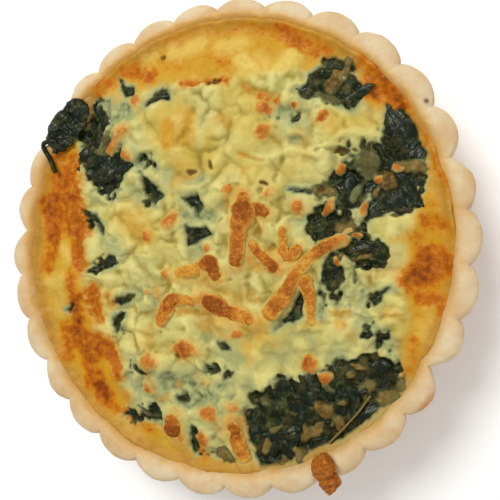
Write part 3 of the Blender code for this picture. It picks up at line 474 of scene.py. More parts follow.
# The stage, in metres: the floor's half width, each light's place, width and power, and the room's light.
FLOOR_HALF = 2
LIGHTS = {"key": ((-0.2, 0.46, 0.78), 0.45, 6.0), "fill": ((0.6, -0.3, 0.7), 0.6, 1.9)}
LIGHT_AIM = (0, 0, 0.02)
ROOM_COLOUR = (1.0, 0.99, 0.97, 1)
ROOM_STRENGTH = 0.54

# The lattice of the top's fields, the cells across the filling's mesh, and the points across the noise's.
FIELD_STEP = 0.25
FIELD_HALF = 60.0
TOP_CELLS = 380
LATTICE = 97


def linear(red, green, blue):
    """A display colour, 0 to 255, as the linear colour that a shader takes."""
    share = np.array([red, green, blue]) / 255
    values = np.where(share <= 0.04045, share / 12.92, ((share + 0.055) / 1.055) ** 2.4)
    return tuple(float(value) for value in values)


# Further tones of the crust, the cheese and the custard, apart from those that the panel sets.
STAIN_EDGE = linear(188, 140, 66)
SCORCH = linear(92, 48, 20)
PALE_CHEESE = linear(210, 198, 124)
GREENISH_CHEESE = linear(170, 172, 112)
MELTED_CHEESE = linear(190, 162, 62)
# Painted highlight on raised cheese.
RAISED_CHEESE_HIGHLIGHT = linear(209, 199, 125)
TOASTED_CHEESE = linear(190, 134, 34)
# Painted shade along the creases between the cheese's lobes.
CREASE_SHADE_LINE = linear(120, 96, 36)
# Dark brown of the specks, and painted shade in the holes.
SPECK_AND_HOLE_SHADE = linear(74, 42, 10)
DEEP_VEIL = linear(84, 92, 58)
LIGHT_CUSTARD = linear(193, 151, 57)
# Painted highlight on the custard's bulges.
BULGE_HIGHLIGHT = linear(212, 188, 98)
RIND = linear(167, 119, 47)
LUMP_TONES = ((0.0, linear(204, 168, 82)), (0.45, linear(184, 114, 40)), (1.0, linear(138, 68, 12)))
ISLAND_TONES = ((0.0, linear(138, 132, 80)), (0.6, linear(120, 94, 44)), (1.0, linear(80, 48, 18)))
ISLAND_SPOTS = linear(58, 58, 30)
ISLAND_EDGE = linear(50, 52, 28)

# Tones of the leaf in the gaps, of the film on the leaves, and of the shreds.
GAP_LEAF = linear(12, 23, 9)
# Painted sheen on the crests of the leaf in the gaps.
GAP_RIDGE_SHEEN = linear(49, 65, 37)
GAP_DRY = linear(78, 66, 28)
GAP_FILM = linear(86, 88, 52)
LEAF_FILM = linear(80, 90, 54)
STRAW_SHRED = linear(198, 180, 100)
SHRED_GRAIN = linear(208, 154, 78)

# How rough a finish's noise is, unless it says otherwise.
ROUGHNESS = 0.55

# The tints of the gleam on oily cheese and on wet leaf.
CHEESE_GLEAM = (1, 0.84, 0.5, 1)
LEAF_GLEAM = (1, 0.97, 0.85, 1)


def colour_setting(name, text, *display):
    return FloatVectorProperty(
        name=name, description=text, subtype="COLOR", size=3, min=0, max=1, default=linear(*display))


def number_setting(name, text, default, highest, lowest=0):
    return FloatProperty(name=name, description=text, default=default, min=lowest, max=highest)


class QuichePastry(bpy.types.PropertyGroup):
    pale: colour_setting("Pale Crust", "Colour of the smooth rim", 206, 187, 150)
    tan: colour_setting("Tan Crust", "Colour of the crust where it has baked a little more", 190, 152, 102)
    # Also the colour of the painted shade in the rim's notches and along its outer edge.
    toasted: colour_setting("Toasted Crust", "Colour of the wall that lay against the tin", 186, 128, 70)
    # Also the colour of the painted shade on the inner wall at the left.
    stained: colour_setting("Stained Crust", "Colour where custard has soaked into the rim", 200, 152, 66)
    grain: number_setting("Grain", "Height of the crust's fine unevenness, in millimetres", 0.12, 1)


class QuicheFilling(bpy.types.PropertyGroup):
    cheese: colour_setting("Cheese", "Colour of melted cheese", 178, 166, 88)
    # Painted shade down between the cheese's folds.
    crease_shade: colour_setting("Crease", "Colour of cheese down between folds", 148, 128, 54)
    veil: colour_setting("Veil", "Colour of cheese over a leaf", 152, 157, 107)
    custard: colour_setting("Custard", "Colour of set custard", 180, 143, 39)
    golden: colour_setting("Golden", "Colour of lightly browned custard", 190, 136, 20)
    brown: colour_setting("Brown", "Colour of browned custard", 176, 96, 10)
    dark: colour_setting("Dark", "Colour of the most browned spots", 124, 56, 6)
    strand_height: number_setting("Strand Height", "Height of half melted strands, in millimetres", 1.0, 3)
    strand_count: number_setting("Strands", "How many half melted strands the cheese has", 110, 2000)


class QuicheSpinach(bpy.types.PropertyGroup):
    leaf: colour_setting("Leaf", "Colour of the wilted leaf", 9, 22, 9)
    # Painted sheen on the leaf's fold crests, and the paler colour of its veins.
    ridge: colour_setting("Ridge", "Colour of the leaf's ridges and veins", 50, 70, 40)
    olive: colour_setting("Olive", "Colour where the leaf has dried", 56, 50, 16)
    stem: colour_setting("Stem", "Colour of a thin stem", 124, 102, 52)
    wrinkle: number_setting("Wrinkle", "Height of the leaf's wrinkles, in millimetres", 0.75, 3)
    thickness: number_setting("Thickness", "Thickness of a leaf, in millimetres", 0.3, 1, 0.1)


class QuicheShreds(bpy.types.PropertyGroup):
    pale: colour_setting("Pale Shred", "Colour of a shred that has hardly browned", 204, 158, 62)
    orange: colour_setting("Orange Shred", "Colour of a shred that has browned", 186, 112, 32)
    brown: colour_setting("Brown Shred", "Colour of a shred's darkest parts", 132, 64, 10)
    roughness: number_setting("Roughness", "Unevenness of a shred, in millimetres", 0.42, 1)


def soft(low, high, value):
    """A smooth step from 0 at low to 1 at high."""
    share = np.clip((value - low) / (high - low), 0, 1)
    return share * share * (3 - 2 * share)


def bump(distance, spread):
    """A bell curve: 1 at no distance, 0.6 at one spread."""
    return np.exp(-0.5 * (distance / spread) ** 2)


def noise(x, y, cell, seed):
    """Smooth noise, -1 to 1: random heights on a square lattice, blended by smooth steps."""
    lattice = np.random.default_rng(seed).uniform(-1, 1, (LATTICE, LATTICE))
    u, v = x / cell + 0.5 * LATTICE, y / cell + 0.5 * LATTICE
    i, j = np.floor(u).astype(int), np.floor(v).astype(int)
    s, t = u - i, v - j
    s, t = s * s * (3 - 2 * s), t * t * (3 - 2 * t)
    i, j = i % LATTICE, j % LATTICE
    k, m = (i + 1) % LATTICE, (j + 1) % LATTICE
    low = (1 - s) * lattice[i, j] + s * lattice[k, j]
    high = (1 - s) * lattice[i, m] + s * lattice[k, m]
    return (1 - t) * low + t * high


def fractal(x, y, cell, seed, octaves=3):
    """Octaves of noise, each turned by 37 degrees, half as wide and half as high as the last."""
    total, height = 0.0, 1.0
    for octave in range(octaves):
        total = total + height * noise(x, y, cell, seed + octave)
        x, y = 0.8 * x - 0.6 * y, 0.6 * x + 0.8 * y
        cell, height = 0.5 * cell, 0.5 * height
    return total / 1.75


def ridged(x, y, cell, seed, octaves=3):
    """Sharp ridges, 0 to 1: one less the size of turned noise, in octaves."""
    total, height = 0.0, 1.0
    for octave in range(octaves):
        total = total + height * (1 - np.abs(noise(x, y, cell, seed + octave))) ** 3
        x, y = 0.8 * x - 0.6 * y, 0.6 * x + 0.8 * y
        cell, height = 0.5 * cell, 0.5 * height
    return total / 1.75


def blurred(field, radius):
    """A field smoothed three times by a running mean as wide as the radius, along each axis."""
    half = max(1, round(radius / FIELD_STEP))
    for _ in range(3):
        for axis in (0, 1):
            width = [(half + 1, half) if axis == side else (0, 0) for side in (0, 1)]
            total = np.cumsum(np.pad(field, width, mode="edge"), axis=axis)
            size = field.shape[axis]
            ahead = np.take(total, range(2 * half + 1, 2 * half + 1 + size), axis)
            behind = np.take(total, range(size), axis)
            field = (ahead - behind) / (2 * half + 1)
    return field


def cells(x, y, size, seed):
    """Lobes between creases: how much nearer the nearest of many scattered points is than the next one."""
    nudge = np.random.default_rng(seed).uniform(0.05, 0.95, (2, LATTICE, LATTICE))
    u, v = x / size + 0.5 * LATTICE, y / size + 0.5 * LATTICE
    i, j = np.floor(u).astype(int), np.floor(v).astype(int)
    nearest, second = np.full(u.shape, 9.0), np.full(u.shape, 9.0)
    for a in (i - 1, i, i + 1):
        for b in (j - 1, j, j + 1):
            point = nudge[:, a % LATTICE, b % LATTICE]
            distance = np.hypot(a + point[0] - u, b + point[1] - v)
            second = np.minimum(second, np.maximum(nearest, distance))
            nearest = np.minimum(nearest, distance)
    return second - nearest


def turn_from(angle, degrees):
    """How far each angle is from a direction, in degrees, the short way round."""
    return (np.degrees(angle) - degrees + 180) % 360 - 180


def flute_lobe(angle):
    """A blunted sine wave round the case: 0 at each notch, 1 in the middle of each flute."""
    return np.abs(np.sin(FLUTES / 2 * (angle - FIRST_NOTCH))) ** FLUTE_ROUNDNESS


def flute_reach(angle):
    """How far the wall stands out beyond a true circle: round lobes between sharp notches."""
    reach = FLUTE_DEPTH * flute_lobe(angle)
    for degrees, spread, growth in RIM_SWELLS:
        reach = reach + growth * bump(turn_from(angle, degrees), spread)
    for degrees, depth in DEEP_NOTCHES:
        reach = reach - depth * bump(turn_from(angle, degrees), DEEP_NOTCH_SPREAD)
    return reach


def rim_height(angle):
    """The rim's crest: the case's height, less two slow waves."""
    return CASE_HEIGHT - RIM_WAVE * (1 + 0.5 * np.sin(3 * angle + 1) + 0.5 * np.sin(7 * angle))


def rim_curve(share):
    """How high the rim stands at each share of its width, 0 at its outer edge and 1 at its inner edge."""
    outer = np.sqrt(np.clip(1 - (1 - np.clip(share, 0, CROWN) / CROWN) ** 2, 0, 1)) ** OUTER_BLUNTNESS
    inner = 1 - np.clip((share - CROWN) / (1 - CROWN), 0, 1) ** INNER_BLUNTNESS
    return np.where(share < CROWN, outer, inner)


def inner_radius(angle, height):
    """The case's inner wall: a straight lean outwards, slightly waved by the flutes."""
    share = (height - FLOOR) / (SHOULDER - FLOOR)
    return INNER_BASE + share * (INNER_TOP - INNER_BASE + INNER_WAVE * flute_reach(angle))


def custard_edge(angle):
    """The filling's level at the wall, a little higher at the back."""
    return CUSTARD_LEVEL + BACK_RISE * bump(turn_from(angle, 90), 35)


def dome_share(x, y):
    """How much of the dome there is at each place, from 0 at the wall to 1 a little way in."""
    return soft(0, DOME_RUN, DOME_RADIUS - np.hypot(x, y))


def cheese_lumps():
    """Lumps spread evenly on a sunflower spiral, then nudged, as in the solid."""
    draw = np.random.default_rng(11)
    k = np.arange(LUMPS)
    radius = 49 * np.sqrt((k + 0.5) / LUMPS)
    angle = k * math.pi * (3 - math.sqrt(5))
    x = radius * np.cos(angle) + draw.normal(0, 1.2, LUMPS)
    y = radius * np.sin(angle) + draw.normal(0, 1.2, LUMPS)
    return np.stack([x, y, draw.uniform(*LUMP_SPREAD, LUMPS), draw.uniform(*LUMP_HEIGHT, LUMPS)], 1)


def dome_height(x, y):
    """The filling's broad form, as in the solid: level, low dome, swells and lumps."""
    inside = dome_share(x, y)
    height = CHEESE_RISE * inside
    for lump_x, lump_y, spread, rise in (*SWELLS, *cheese_lumps()):
        height = height + inside * rise * bump(np.hypot(x - lump_x, y - lump_y), spread)
    return custard_edge(np.arctan2(y, x)) + height


def eye():
    """Where the viewer's eye is, in millimetres, and the direction back towards it."""
    back = np.array([math.sin(VIEW_TILT) * math.cos(VIEW_TURN),
                     math.sin(VIEW_TILT) * math.sin(VIEW_TURN), math.cos(VIEW_TILT)])
    return np.array([*VIEW_AIM, RIM_LEVEL]) + VIEW_DISTANCE * back, back


def placed(points, lift=None):
    """Places read in plan at the custard's level, moved to where they are on the domed top, or higher."""
    points = np.asarray(points, float)
    foot = eye()[0]
    if lift is None:
        lift = EDGE_LIFT + DOME_LIFT * dome_share(points[..., 0], points[..., 1])
    share = 1 - np.asarray(lift) / (foot[2] - PLAN_LEVEL)
    return foot[:2] + (points - foot[:2]) * share[..., None]


def stroke_distance(x, y, start, end, bend=0.0):
    """How far each place is from a stroke, which bows aside by bend in the middle."""
    along = end - start
    length = float(np.hypot(*along))
    if length < 0.01:
        return np.hypot(x - start[0], y - start[1])
    ahead = along / length
    s = (x - start[0]) * ahead[0] + (y - start[1]) * ahead[1]
    t = (y - start[1]) * ahead[0] - (x - start[0]) * ahead[1]
    share = np.clip(s / length, 0, 1)
    t = t - bend * 4 * share * (1 - share)
    return np.hypot(s - share * length, t)


def outline_distance(x, y, corners):
    """How far each place is from a closed outline: negative inside, positive outside."""
    nearest = np.full(x.shape, 1e9)
    inside = np.zeros(x.shape, bool)
    for (ax, ay), (bx, by) in zip(corners, np.roll(corners, -1, axis=0)):
        ex, ey = bx - ax, by - ay
        share = np.clip(((x - ax) * ex + (y - ay) * ey) / (ex * ex + ey * ey), 0, 1)
        nearest = np.minimum(nearest, np.hypot(x - ax - share * ex, y - ay - share * ey))
        crosses = (ay > y) != (by > y)
        height = np.where(by == ay, 1e-9, by - ay)
        inside ^= crosses & (x < (bx - ax) * (y - ay) / height + ax)
    return np.where(inside, -nearest, nearest)


class Topping:
    """The top of the filling as fields on a square lattice: its height, and masks for its finish."""

    def __init__(self, settings):
        axis = np.arange(-FIELD_HALF, FIELD_HALF + FIELD_STEP, FIELD_STEP)
        self.x, self.y = np.meshgrid(axis, axis, indexing="ij")
        self.angle, self.radius = np.arctan2(self.y, self.x), np.hypot(self.x, self.y)
        self.warp_x = self.warped(self.x, 101)
        self.warp_y = self.warped(self.y, 121)
        self.warp_radius = np.hypot(self.warp_x, self.warp_y)
        self.base = dome_height(self.x, self.y)
        self.make_lumps()
        self.make_cover()
        self.make_height(settings)
        self.make_masks()

    def warped(self, axis, seed):
        """One axis of the lattice, wandering, so that what is laid out on it has a ragged edge."""
        return axis + 0.9 * fractal(self.x, self.y, 4.2, seed) + 0.25 * noise(self.x, self.y, 0.9, seed + 10)

    def waves(self, cell, seed, octaves=3):
        return fractal(self.x, self.y, cell, seed, octaves)

    def near(self, low, high):
        """The part of the lattice between two corners, as a pair of slices."""
        first = np.clip(((np.asarray(low) + FIELD_HALF) / FIELD_STEP).astype(int), 0, len(self.x))
        last = np.clip(((np.asarray(high) + FIELD_HALF) / FIELD_STEP).astype(int) + 2, 0, len(self.x))
        return slice(first[0], last[0]), slice(first[1], last[1])

    def strokes(self, marks, feather):
        """The strongest of several soft strokes at each place."""
        field = np.zeros_like(self.x)
        for x1, y1, x2, y2, radius, strength in marks:
            start, end = placed([(x1, y1), (x2, y2)])
            reach = radius + 2 * feather + 1.5
            part = self.near(np.minimum(start, end) - reach, np.maximum(start, end) + reach)
            distance = stroke_distance(self.warp_x[part], self.warp_y[part], start, end)
            mark = strength * soft(radius + feather, radius - feather, distance)
            field[part] = np.maximum(field[part], mark)
        return field

    def oval(self, centre, long, wide, degrees):
        """How far each place is from a centre, in shares of an oval's half sizes."""
        turn = math.radians(degrees)
        dx, dy = self.warp_x - centre[0], self.warp_y - centre[1]
        u = (dx * math.cos(turn) + dy * math.sin(turn)) / long
        v = (dy * math.cos(turn) - dx * math.sin(turn)) / wide
        return np.hypot(u, v)

    def make_lumps(self):
        """Browned lumps of cheese: where they are, how high they stand and how brown they are."""
        self.lump, self.lump_rise, self.lump_tone = (np.zeros_like(self.x) for _ in range(3))
        uneven = 1 + 0.3 * self.waves(1.8, 201)
        for number, (x, y, radius, stretch, degrees, brown) in enumerate(LUMPS_OF_CHEESE):
            centre = placed((x, y))
            distance = self.oval(centre, LUMP_GROWTH * radius * stretch, LUMP_GROWTH * radius, degrees)
            tip = math.radians(degrees + LUMP_TIP_STEP * number)
            ahead = ((self.x - centre[0]) * math.cos(tip) + (self.y - centre[1]) * math.sin(tip)) / radius
            self.add_lump(distance * uneven, radius, brown * np.clip(0.85 + 0.4 * ahead, 0.3, 1.3))
        for path in SHREDS.values():
            path = np.array(path)
            corners = placed(path[:, :2])
            middles = 0.5 * (path[1:, 2:] + path[:-1, 2:])
            for start, end, (width, brown) in zip(corners, corners[1:], middles):
                distance = stroke_distance(self.x, self.y, start, end) / (1.5 * width)
                self.add_lump(distance * uneven, 0.8 * width, 0.5 * brown)

    def add_lump(self, distance, radius, brown):
        """Raises and browns the top near one lump, given how far each place is in shares of its size."""
        self.lump = np.maximum(self.lump, soft(1.3, 0.9, distance))
        self.lump_rise = np.maximum(self.lump_rise, LUMP_FLATNESS * radius * soft(1.35, 0.2, distance))
        tone = brown * (0.6 * soft(1.6, 0.1, distance) + 0.4 * soft(1.2, 0.4, distance))
        self.lump_tone = np.maximum(self.lump_tone, tone)

    def make_cover(self):
        """Where cheese covers the custard, and where a window shows a leaf."""
        angle = np.degrees(np.arctan2(self.warp_y, self.warp_x)) % 360
        steps = np.arange(len(CHEESE_EDGE) + 1) * 360 / len(CHEESE_EDGE)
        edge = np.interp(angle, steps, (*CHEESE_EDGE, CHEESE_EDGE[0]))
        self.cover = soft(-1.8, 1.4, edge - self.warp_radius)
        self.window = np.zeros_like(self.x)
        self.beside = np.zeros_like(self.x)
        for _, outline in (WINDOWS | SMALL_LEAVES).values():
            corners = placed(outline)
            part = self.near(corners.min(0) - 5, corners.max(0) + 5)
            distance = outline_distance(self.warp_x[part], self.warp_y[part], corners)
            self.window[part] = np.maximum(self.window[part], soft(0.7, -0.5, distance))
            self.beside[part] = np.maximum(self.beside[part], soft(2.2, 0.0, distance))
        self.loose = self.strokes(LEAFY, 1.6)
        tear = 0.5 + 0.5 * fractal(self.warp_x, self.warp_y, 3.2, 151)
        tear = tear + 0.2 * noise(self.x, self.y, 1.1, 161)
        ragged = soft(0.02, 0.15, self.loose) * soft(0.14, -0.1, tear - self.loose)
        self.window = np.maximum(self.window, ragged)
        self.beside = np.maximum(self.beside, soft(0, 0.3, self.loose) * soft(0.55, 0, tear - self.loose))
        self.beside *= np.clip(0.75 + 0.8 * self.waves(3.4, 145), 0, 1)
        self.tan = np.zeros_like(self.x)
        self.island = np.zeros_like(self.x)
        uneven = 1 + 0.7 * self.waves(2.0, 205)
        for x, y, long, wide, degrees, tan in ISLANDS:
            inside = soft(1.6, 0.45, uneven * self.oval(placed((x, y)), long, wide, degrees))
            self.island = np.maximum(self.island, inside)
            self.tan = np.maximum(self.tan, tan * inside)
        self.island = np.maximum(self.island, self.lump)
        self.tan = self.tan * (1 - self.lump)
        self.lump_tone += 0.35 * self.lump * blurred(self.window, 1.2)
        self.window = self.window * (1 - self.island)
        self.window *= soft(REACH_OF_LEAVES + 0.8, REACH_OF_LEAVES - 0.8, self.warp_radius)
        self.melt = self.strokes(MELTED, 3.0)
        self.bulge = self.strokes(BULGES, 1.8)
        self.edge = soft(3.6, 0.2, inner_radius(self.angle, CUSTARD_LEVEL) - self.warp_radius)

    def lay_strand(self, layer, start, end, half, height, bend):
        """Adds one half melted strand: a round back that lies partly on those below it."""
        reach = half + abs(bend) + 0.5
        part = self.near(np.minimum(start, end) - reach, np.maximum(start, end) + reach)
        distance = stroke_distance(self.warp_x[part], self.warp_y[part], start, end, bend)
        back = height * np.clip(1 - (distance / half) ** 2, 0, 1) ** 1.1
        under = layer[part]
        raised = back + 0.35 * under * np.clip(back / 0.2, 0, 1)
        blend = np.clip(0.35 - np.abs(raised - under), 0, None) * np.clip(back / 0.2, 0, 1)
        layer[part] = np.maximum(under, raised) + blend * blend / 1.4

    def make_height(self, settings):
        """Custard with low blisters, and over it the cheese: strands, folds, creases and holes."""
        draw = np.random.default_rng(23)
        layer = np.zeros_like(self.x)
        length, half_width, rise = THICK_STRAND
        for _ in range(int(settings.strand_count)):
            radius = 50 * math.sqrt(draw.uniform())
            turn = draw.uniform(0, math.tau)
            middle = np.array([radius * math.cos(turn), radius * math.sin(turn)])
            lean = math.pi * float(noise(middle[0], middle[1], 16, 5)) + draw.normal(0, 0.7)
            reach = 0.5 * draw.uniform(*length) * np.array([math.cos(lean), math.sin(lean)])
            height = settings.strand_height * draw.uniform(*rise)
            half, bend = draw.uniform(*half_width), draw.normal(0, 1.0)
            self.lay_strand(layer, middle - reach, middle + reach, half, height, bend)
        length, half_width, rise = THIN_STRAND
        for _ in range(int(2 * settings.strand_count)):
            middle = draw.uniform(-50, 50, 2)
            lean = math.pi * float(noise(middle[0], middle[1], 11, 6)) + draw.normal(0, 0.5)
            reach = 0.5 * draw.uniform(*length) * np.array([math.cos(lean), math.sin(lean)])
            half, height = draw.uniform(*half_width), settings.strand_height * draw.uniform(*rise)
            self.lay_strand(layer, middle - reach, middle + reach, half, height, draw.normal(0, 0.6))
        for x1, y1, x2, y2, half, height, bend in STRANDS:
            start, end = placed([(x1, y1), (x2, y2)])
            self.lay_strand(layer, start, end, half, 1.3 * height, bend)
        layer = 0.55 * layer + 0.45 * blurred(layer, 0.3)
        calm = 1 - 0.7 * self.melt
        drift_x, drift_y = (1.8 * self.waves(6.5, seed) for seed in (241, 251))
        chance = self.waves(6, 77, 2)
        patchy = calm * soft(-0.3, 0.5, self.waves(9, 78, 2))
        wide = cells(self.warp_x + drift_x, self.warp_y + drift_y, WIDE_FOLD, 261)
        small = cells(self.warp_x - 0.7 * drift_y, self.warp_y + 0.7 * drift_x, SMALL_FOLD, 291)
        cheese = soft(-0.9, 0.6, chance) * WIDE_FOLD_HEIGHT * (0.6 - np.exp(-2.6 * wide))
        cheese += SMALL_FOLD_HEIGHT * patchy * (0.6 - np.exp(-3.2 * small))
        cheese += 0.95 * calm * (layer - 0.4) + 0.5 * self.waves(9, 71, 2)
        cheese += 0.1 * calm * ridged(self.warp_x, self.warp_y, 1.6, 73, 2)
        cheese += 0.06 * self.waves(1.1, 76)
        # Painted shade along the creases between the fold lobes.
        wide_crease_shade = np.exp(-wide / 0.05) * soft(-0.2, 0.5, chance)
        self.line = np.maximum(wide_crease_shade, 0.7 * patchy * np.exp(-small / 0.08))
        blisters = 0.5 * self.waves(5.2, 81) + 0.16 * self.waves(1.5, 91)
        blisters -= 0.3 * ridged(self.warp_x, self.warp_y, 5.0, 86, 2)
        height = self.base + self.cover * cheese + (1 - self.cover) * (blisters + 0.8 * self.bulge)
        height -= self.cover * self.strokes(CREASES, 0.35)
        for x, y, long, wide, degrees, depth in HOLES:
            height -= depth * soft(1.25, 0.6, self.oval(placed((x, y)), long, wide, degrees))
        height += 0.6 * self.lump * (blurred(height, 1.4) - height) + self.lump_rise
        wall = inner_radius(self.angle, custard_edge(self.angle))
        height += CLIMB * np.exp(-np.clip(wall - self.radius, 0, None) / CLIMB_RUN)
        self.smooth = blurred(height, 1.2)
        creased = ridged(self.warp_x, self.warp_y, 2.4, 171)
        # Painted sheen on the crests of the leaf that shows in the gaps.
        self.ridge = soft(0.3, 0.95, creased + 0.15 * self.waves(0.8, 181, 2))
        height += 0.12 * self.island
        self.height = height - self.window * (GAP_DEPTH - GAP_WRINKLE * creased)

    def make_masks(self):
        """Where the finish browns, toasts and veils, where shade is painted into creases, hollows and holes
        and a highlight onto raised cheese, and so on, mostly from 0 to 1.
        """
        mottle = 1 + 0.55 * self.waves(3.0, 211) + 0.2 * noise(self.x, self.y, 0.9, 221)
        browning = self.strokes(BROWNING, 2.2) * np.clip(mottle, 0.2, 1.7)
        browning *= np.clip(1 - 0.6 * self.bulge, 0, 1)
        fine = self.height - blurred(self.height, 0.8)
        broad = self.height - blurred(self.height, 2.2)
        veil = 0.95 * self.strokes(VEILS, 2.4) * (0.9 + 0.5 * self.waves(2.6, 141))
        veil = np.maximum(veil, 0.5 * self.cover * soft(0.1, 0.7, self.waves(9, 191)))
        # Stronger in hollows and weaker on raised parts: this paints shade into the hollows.
        veil *= np.clip(1 - 1.1 * broad, 0.25, 1.25)
        # Dark specks, and painted shade in the holes.
        dark = np.zeros_like(self.x)
        for x, y, long, wide, degrees, _ in HOLES:
            dark = np.maximum(dark, soft(1.3, 0.7, self.oval(placed((x, y)), long, wide, degrees)))
        self.masks = {
            "cover": self.cover,
            "melt": self.melt,
            # Painted highlight on raised cheese.
            "raised": soft(0.05, 0.6, broad) * (1 - self.lump),
            # Painted shade in hollows and fine creases.
            "crease_shade": np.clip(0.6 * soft(0.02, -0.4, fine) + 0.5 * soft(0.1, -0.9, broad), 0, 1),
            # Painted shade along the creases between lobes.
            "line": blurred(self.line, 0.25) * (1 - self.lump),
            "veil": np.clip(np.maximum(veil, self.beside), 0, 1) * (1 - 0.7 * self.edge),
            "toasting": self.strokes(TOASTING, 1.3) + 0.12 * soft(0.35, 1.0, broad) * self.cover,
            "browning": browning,
            "golden": np.clip(1.6 * blurred(browning, 2.4), 0, 1),
            "edge": self.edge,
            "bulge": np.clip(self.bulge, 0, 1),
            "lump": self.lump_tone,
            "tan": self.tan,
            "dark": dark,
            "window": self.window,
            "ridge": self.ridge,
        }

    def read(self, field, x, y):
        """A field's value at any places, blended from the four lattice points round each."""
        u = np.clip((np.asarray(x) + FIELD_HALF) / FIELD_STEP, 0, len(self.x) - 1.001)
        v = np.clip((np.asarray(y) + FIELD_HALF) / FIELD_STEP, 0, len(self.x) - 1.001)
        i, j = u.astype(int), v.astype(int)
        s, t = u - i, v - j
        low = (1 - s) * field[i, j] + s * field[i + 1, j]
        high = (1 - s) * field[i, j + 1] + s * field[i + 1, j + 1]
        return (1 - t) * low + t * high


MADE = {}


def topping():
    """The top's fields, worked out once."""
    if "topping" not in MADE:
        MADE["topping"] = Topping(bpy.context.scene.quiche_filling)
    return MADE["topping"]


def grid_faces(rows, columns, wrap=False, start=0):
    """Quads between the points of a grid, whose last column meets its first where it wraps."""
    index = start + np.arange(rows * columns).reshape(rows, columns)
    if wrap:
        index = np.hstack([index, index[:, :1]])
    return np.stack([index[:-1, :-1], index[1:, :-1], index[1:, 1:], index[:-1, 1:]], -1).reshape(-1, 4)


def fan_faces(ring, centre, flip=False):
    """Triangles from a ring of points to one centre."""
    ring = np.asarray(ring)
    faces = np.stack([ring, np.roll(ring, -1), np.full(len(ring), centre)], 1)
    return faces[:, ::-1] if flip else faces


def edge_ring(rows, columns):
    """The indices of a grid's outer points, once round."""
    index = np.arange(rows * columns).reshape(rows, columns)
    return np.concatenate([index[:-1, 0], index[-1, :-1], index[:0:-1, -1], index[0, :0:-1]])


def thick_sheet(x, y, height, thickness):
    """A thin closed sheet, from a grid of places and the height of its upper face."""
    upper = np.stack([x, y, height], -1).reshape(-1, 3)
    size = len(upper)
    ring = edge_ring(*x.shape)
    ahead = np.roll(ring, -1)
    side = np.stack([ring, ring + size, ahead + size, ahead], 1)
    faces = [grid_faces(*x.shape), grid_faces(*x.shape, start=size)[:, ::-1], side]
    return np.vstack([upper, upper - (0, 0, thickness)]), faces


def add_object(name, data):
    made = bpy.data.objects.new(name, data)
    bpy.context.scene.collection.objects.link(made)
    return made


def add_piece(name, points, faces, finish, replaced=(), attributes=None):
    """One finished piece: its mesh in metres, facing outwards, with its masks, body and slot."""
    mesh = bpy.data.meshes.new(name)
    corners = [face for part in faces for face in part.tolist()]
    mesh.from_pydata((np.asarray(points) * METRES).tolist(), [], corners)
    for key, values in (attributes or {}).items():
        layer = mesh.attributes.new(key, "FLOAT", "POINT")
        layer.data.foreach_set("value", np.asarray(values, np.float32).ravel())
    mesh.materials.append(finish)
    mesh.shade_smooth()
    mesh.update()
    piece = add_object(name, mesh)
    if signed_volume(mesh) < 0:
        mesh.flip_normals()
    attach(piece, "root")
    if replaced:
        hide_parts(*replaced)
    return piece


def signed_volume(mesh):
    """Six times a closed mesh's volume, below zero where it is inside out."""
    mesh.calc_loop_triangles()
    points = np.empty(len(mesh.vertices) * 3, np.float32)
    mesh.vertices.foreach_get("co", points)
    corners = np.empty(len(mesh.loop_triangles) * 3, np.int32)
    mesh.loop_triangles.foreach_get("vertices", corners)
    return float(np.linalg.det(points.reshape(-1, 3)[corners.reshape(-1, 3)].astype(float)).sum())


class Nodes:
    """Puts nodes into one tree, a material's or a group's, and joins them."""

    def __init__(self, tree):
        self.tree = tree

    def node(self, kind, values=(), **settings):
        made = self.tree.nodes.new(kind)
        for key, value in settings.items():
            setattr(made, key, value)
        for key, value in dict(values).items():
            self.feed(made.inputs[key], value)
        return made

    def feed(self, socket, value):
        if isinstance(value, bpy.types.NodeSocket):
            self.tree.links.new(value, socket)
        elif socket.type == "RGBA":
            socket.default_value = (*value, 1)
        else:
            socket.default_value = value

    def noise_at(self, place, scale, detail, roughness):
        values = {"Vector": place, "Scale": scale, "Detail": detail, "Roughness": roughness}
        return self.node("ShaderNodeTexNoise", values).outputs["Fac"]

    def ranged(self, value, low, high, to_low=0.0, to_high=1.0):
        values = {"Value": value, "From Min": low, "From Max": high, "To Min": to_low, "To Max": to_high}
        return self.node("ShaderNodeMapRange", values).outputs["Result"]

    def bump(self, height, distance, strength, normal=None):
        values = {"Height": height, "Distance": distance, "Strength": strength}
        if normal is not None:
            values["Normal"] = normal
        return self.node("ShaderNodeBump", values).outputs["Normal"]

    def plus(self, first, second, operation="ADD"):
        made = self.node("ShaderNodeMath", operation=operation)
        self.feed(made.inputs[0], first)
        self.feed(made.inputs[1], second)
        return made.outputs["Value"]

    def times(self, first, second):
        return self.plus(first, second, "MULTIPLY")

    def mix(self, share, first, second):
        made = self.node("ShaderNodeMix", data_type="RGBA")
        self.feed(made.inputs["Factor"], share)
        self.feed(made.inputs[6], first)
        self.feed(made.inputs[7], second)
        return made.outputs[2]

    def ramp(self, value, stops):
        made = self.node("ShaderNodeValToRGB", {"Fac": value})
        elements = made.color_ramp.elements
        while len(elements) < len(stops):
            elements.new(0.5)
        for element, (place, colour) in zip(elements, stops):
            element.position = place
            element.color = (*colour, 1)
        return made.outputs["Color"]


def cloud_nodes(nodes, place, scale, detail, roughness, low, high, to_low, to_high):
    """Noise between two of its levels, spread from one value to another."""
    return nodes.ranged(nodes.noise_at(place, scale, detail, roughness), low, high, to_low, to_high)


def grain_nodes(nodes, place, scale, detail, roughness, height, strength, wide_scale, wide_height, wide):
    """A normal roughened by fine noise and, over that, by wider noise."""
    normal = nodes.bump(nodes.noise_at(place, scale, detail, roughness), height, strength)
    return nodes.bump(nodes.noise_at(place, wide_scale, 3, ROUGHNESS), wide_height, wide, normal)


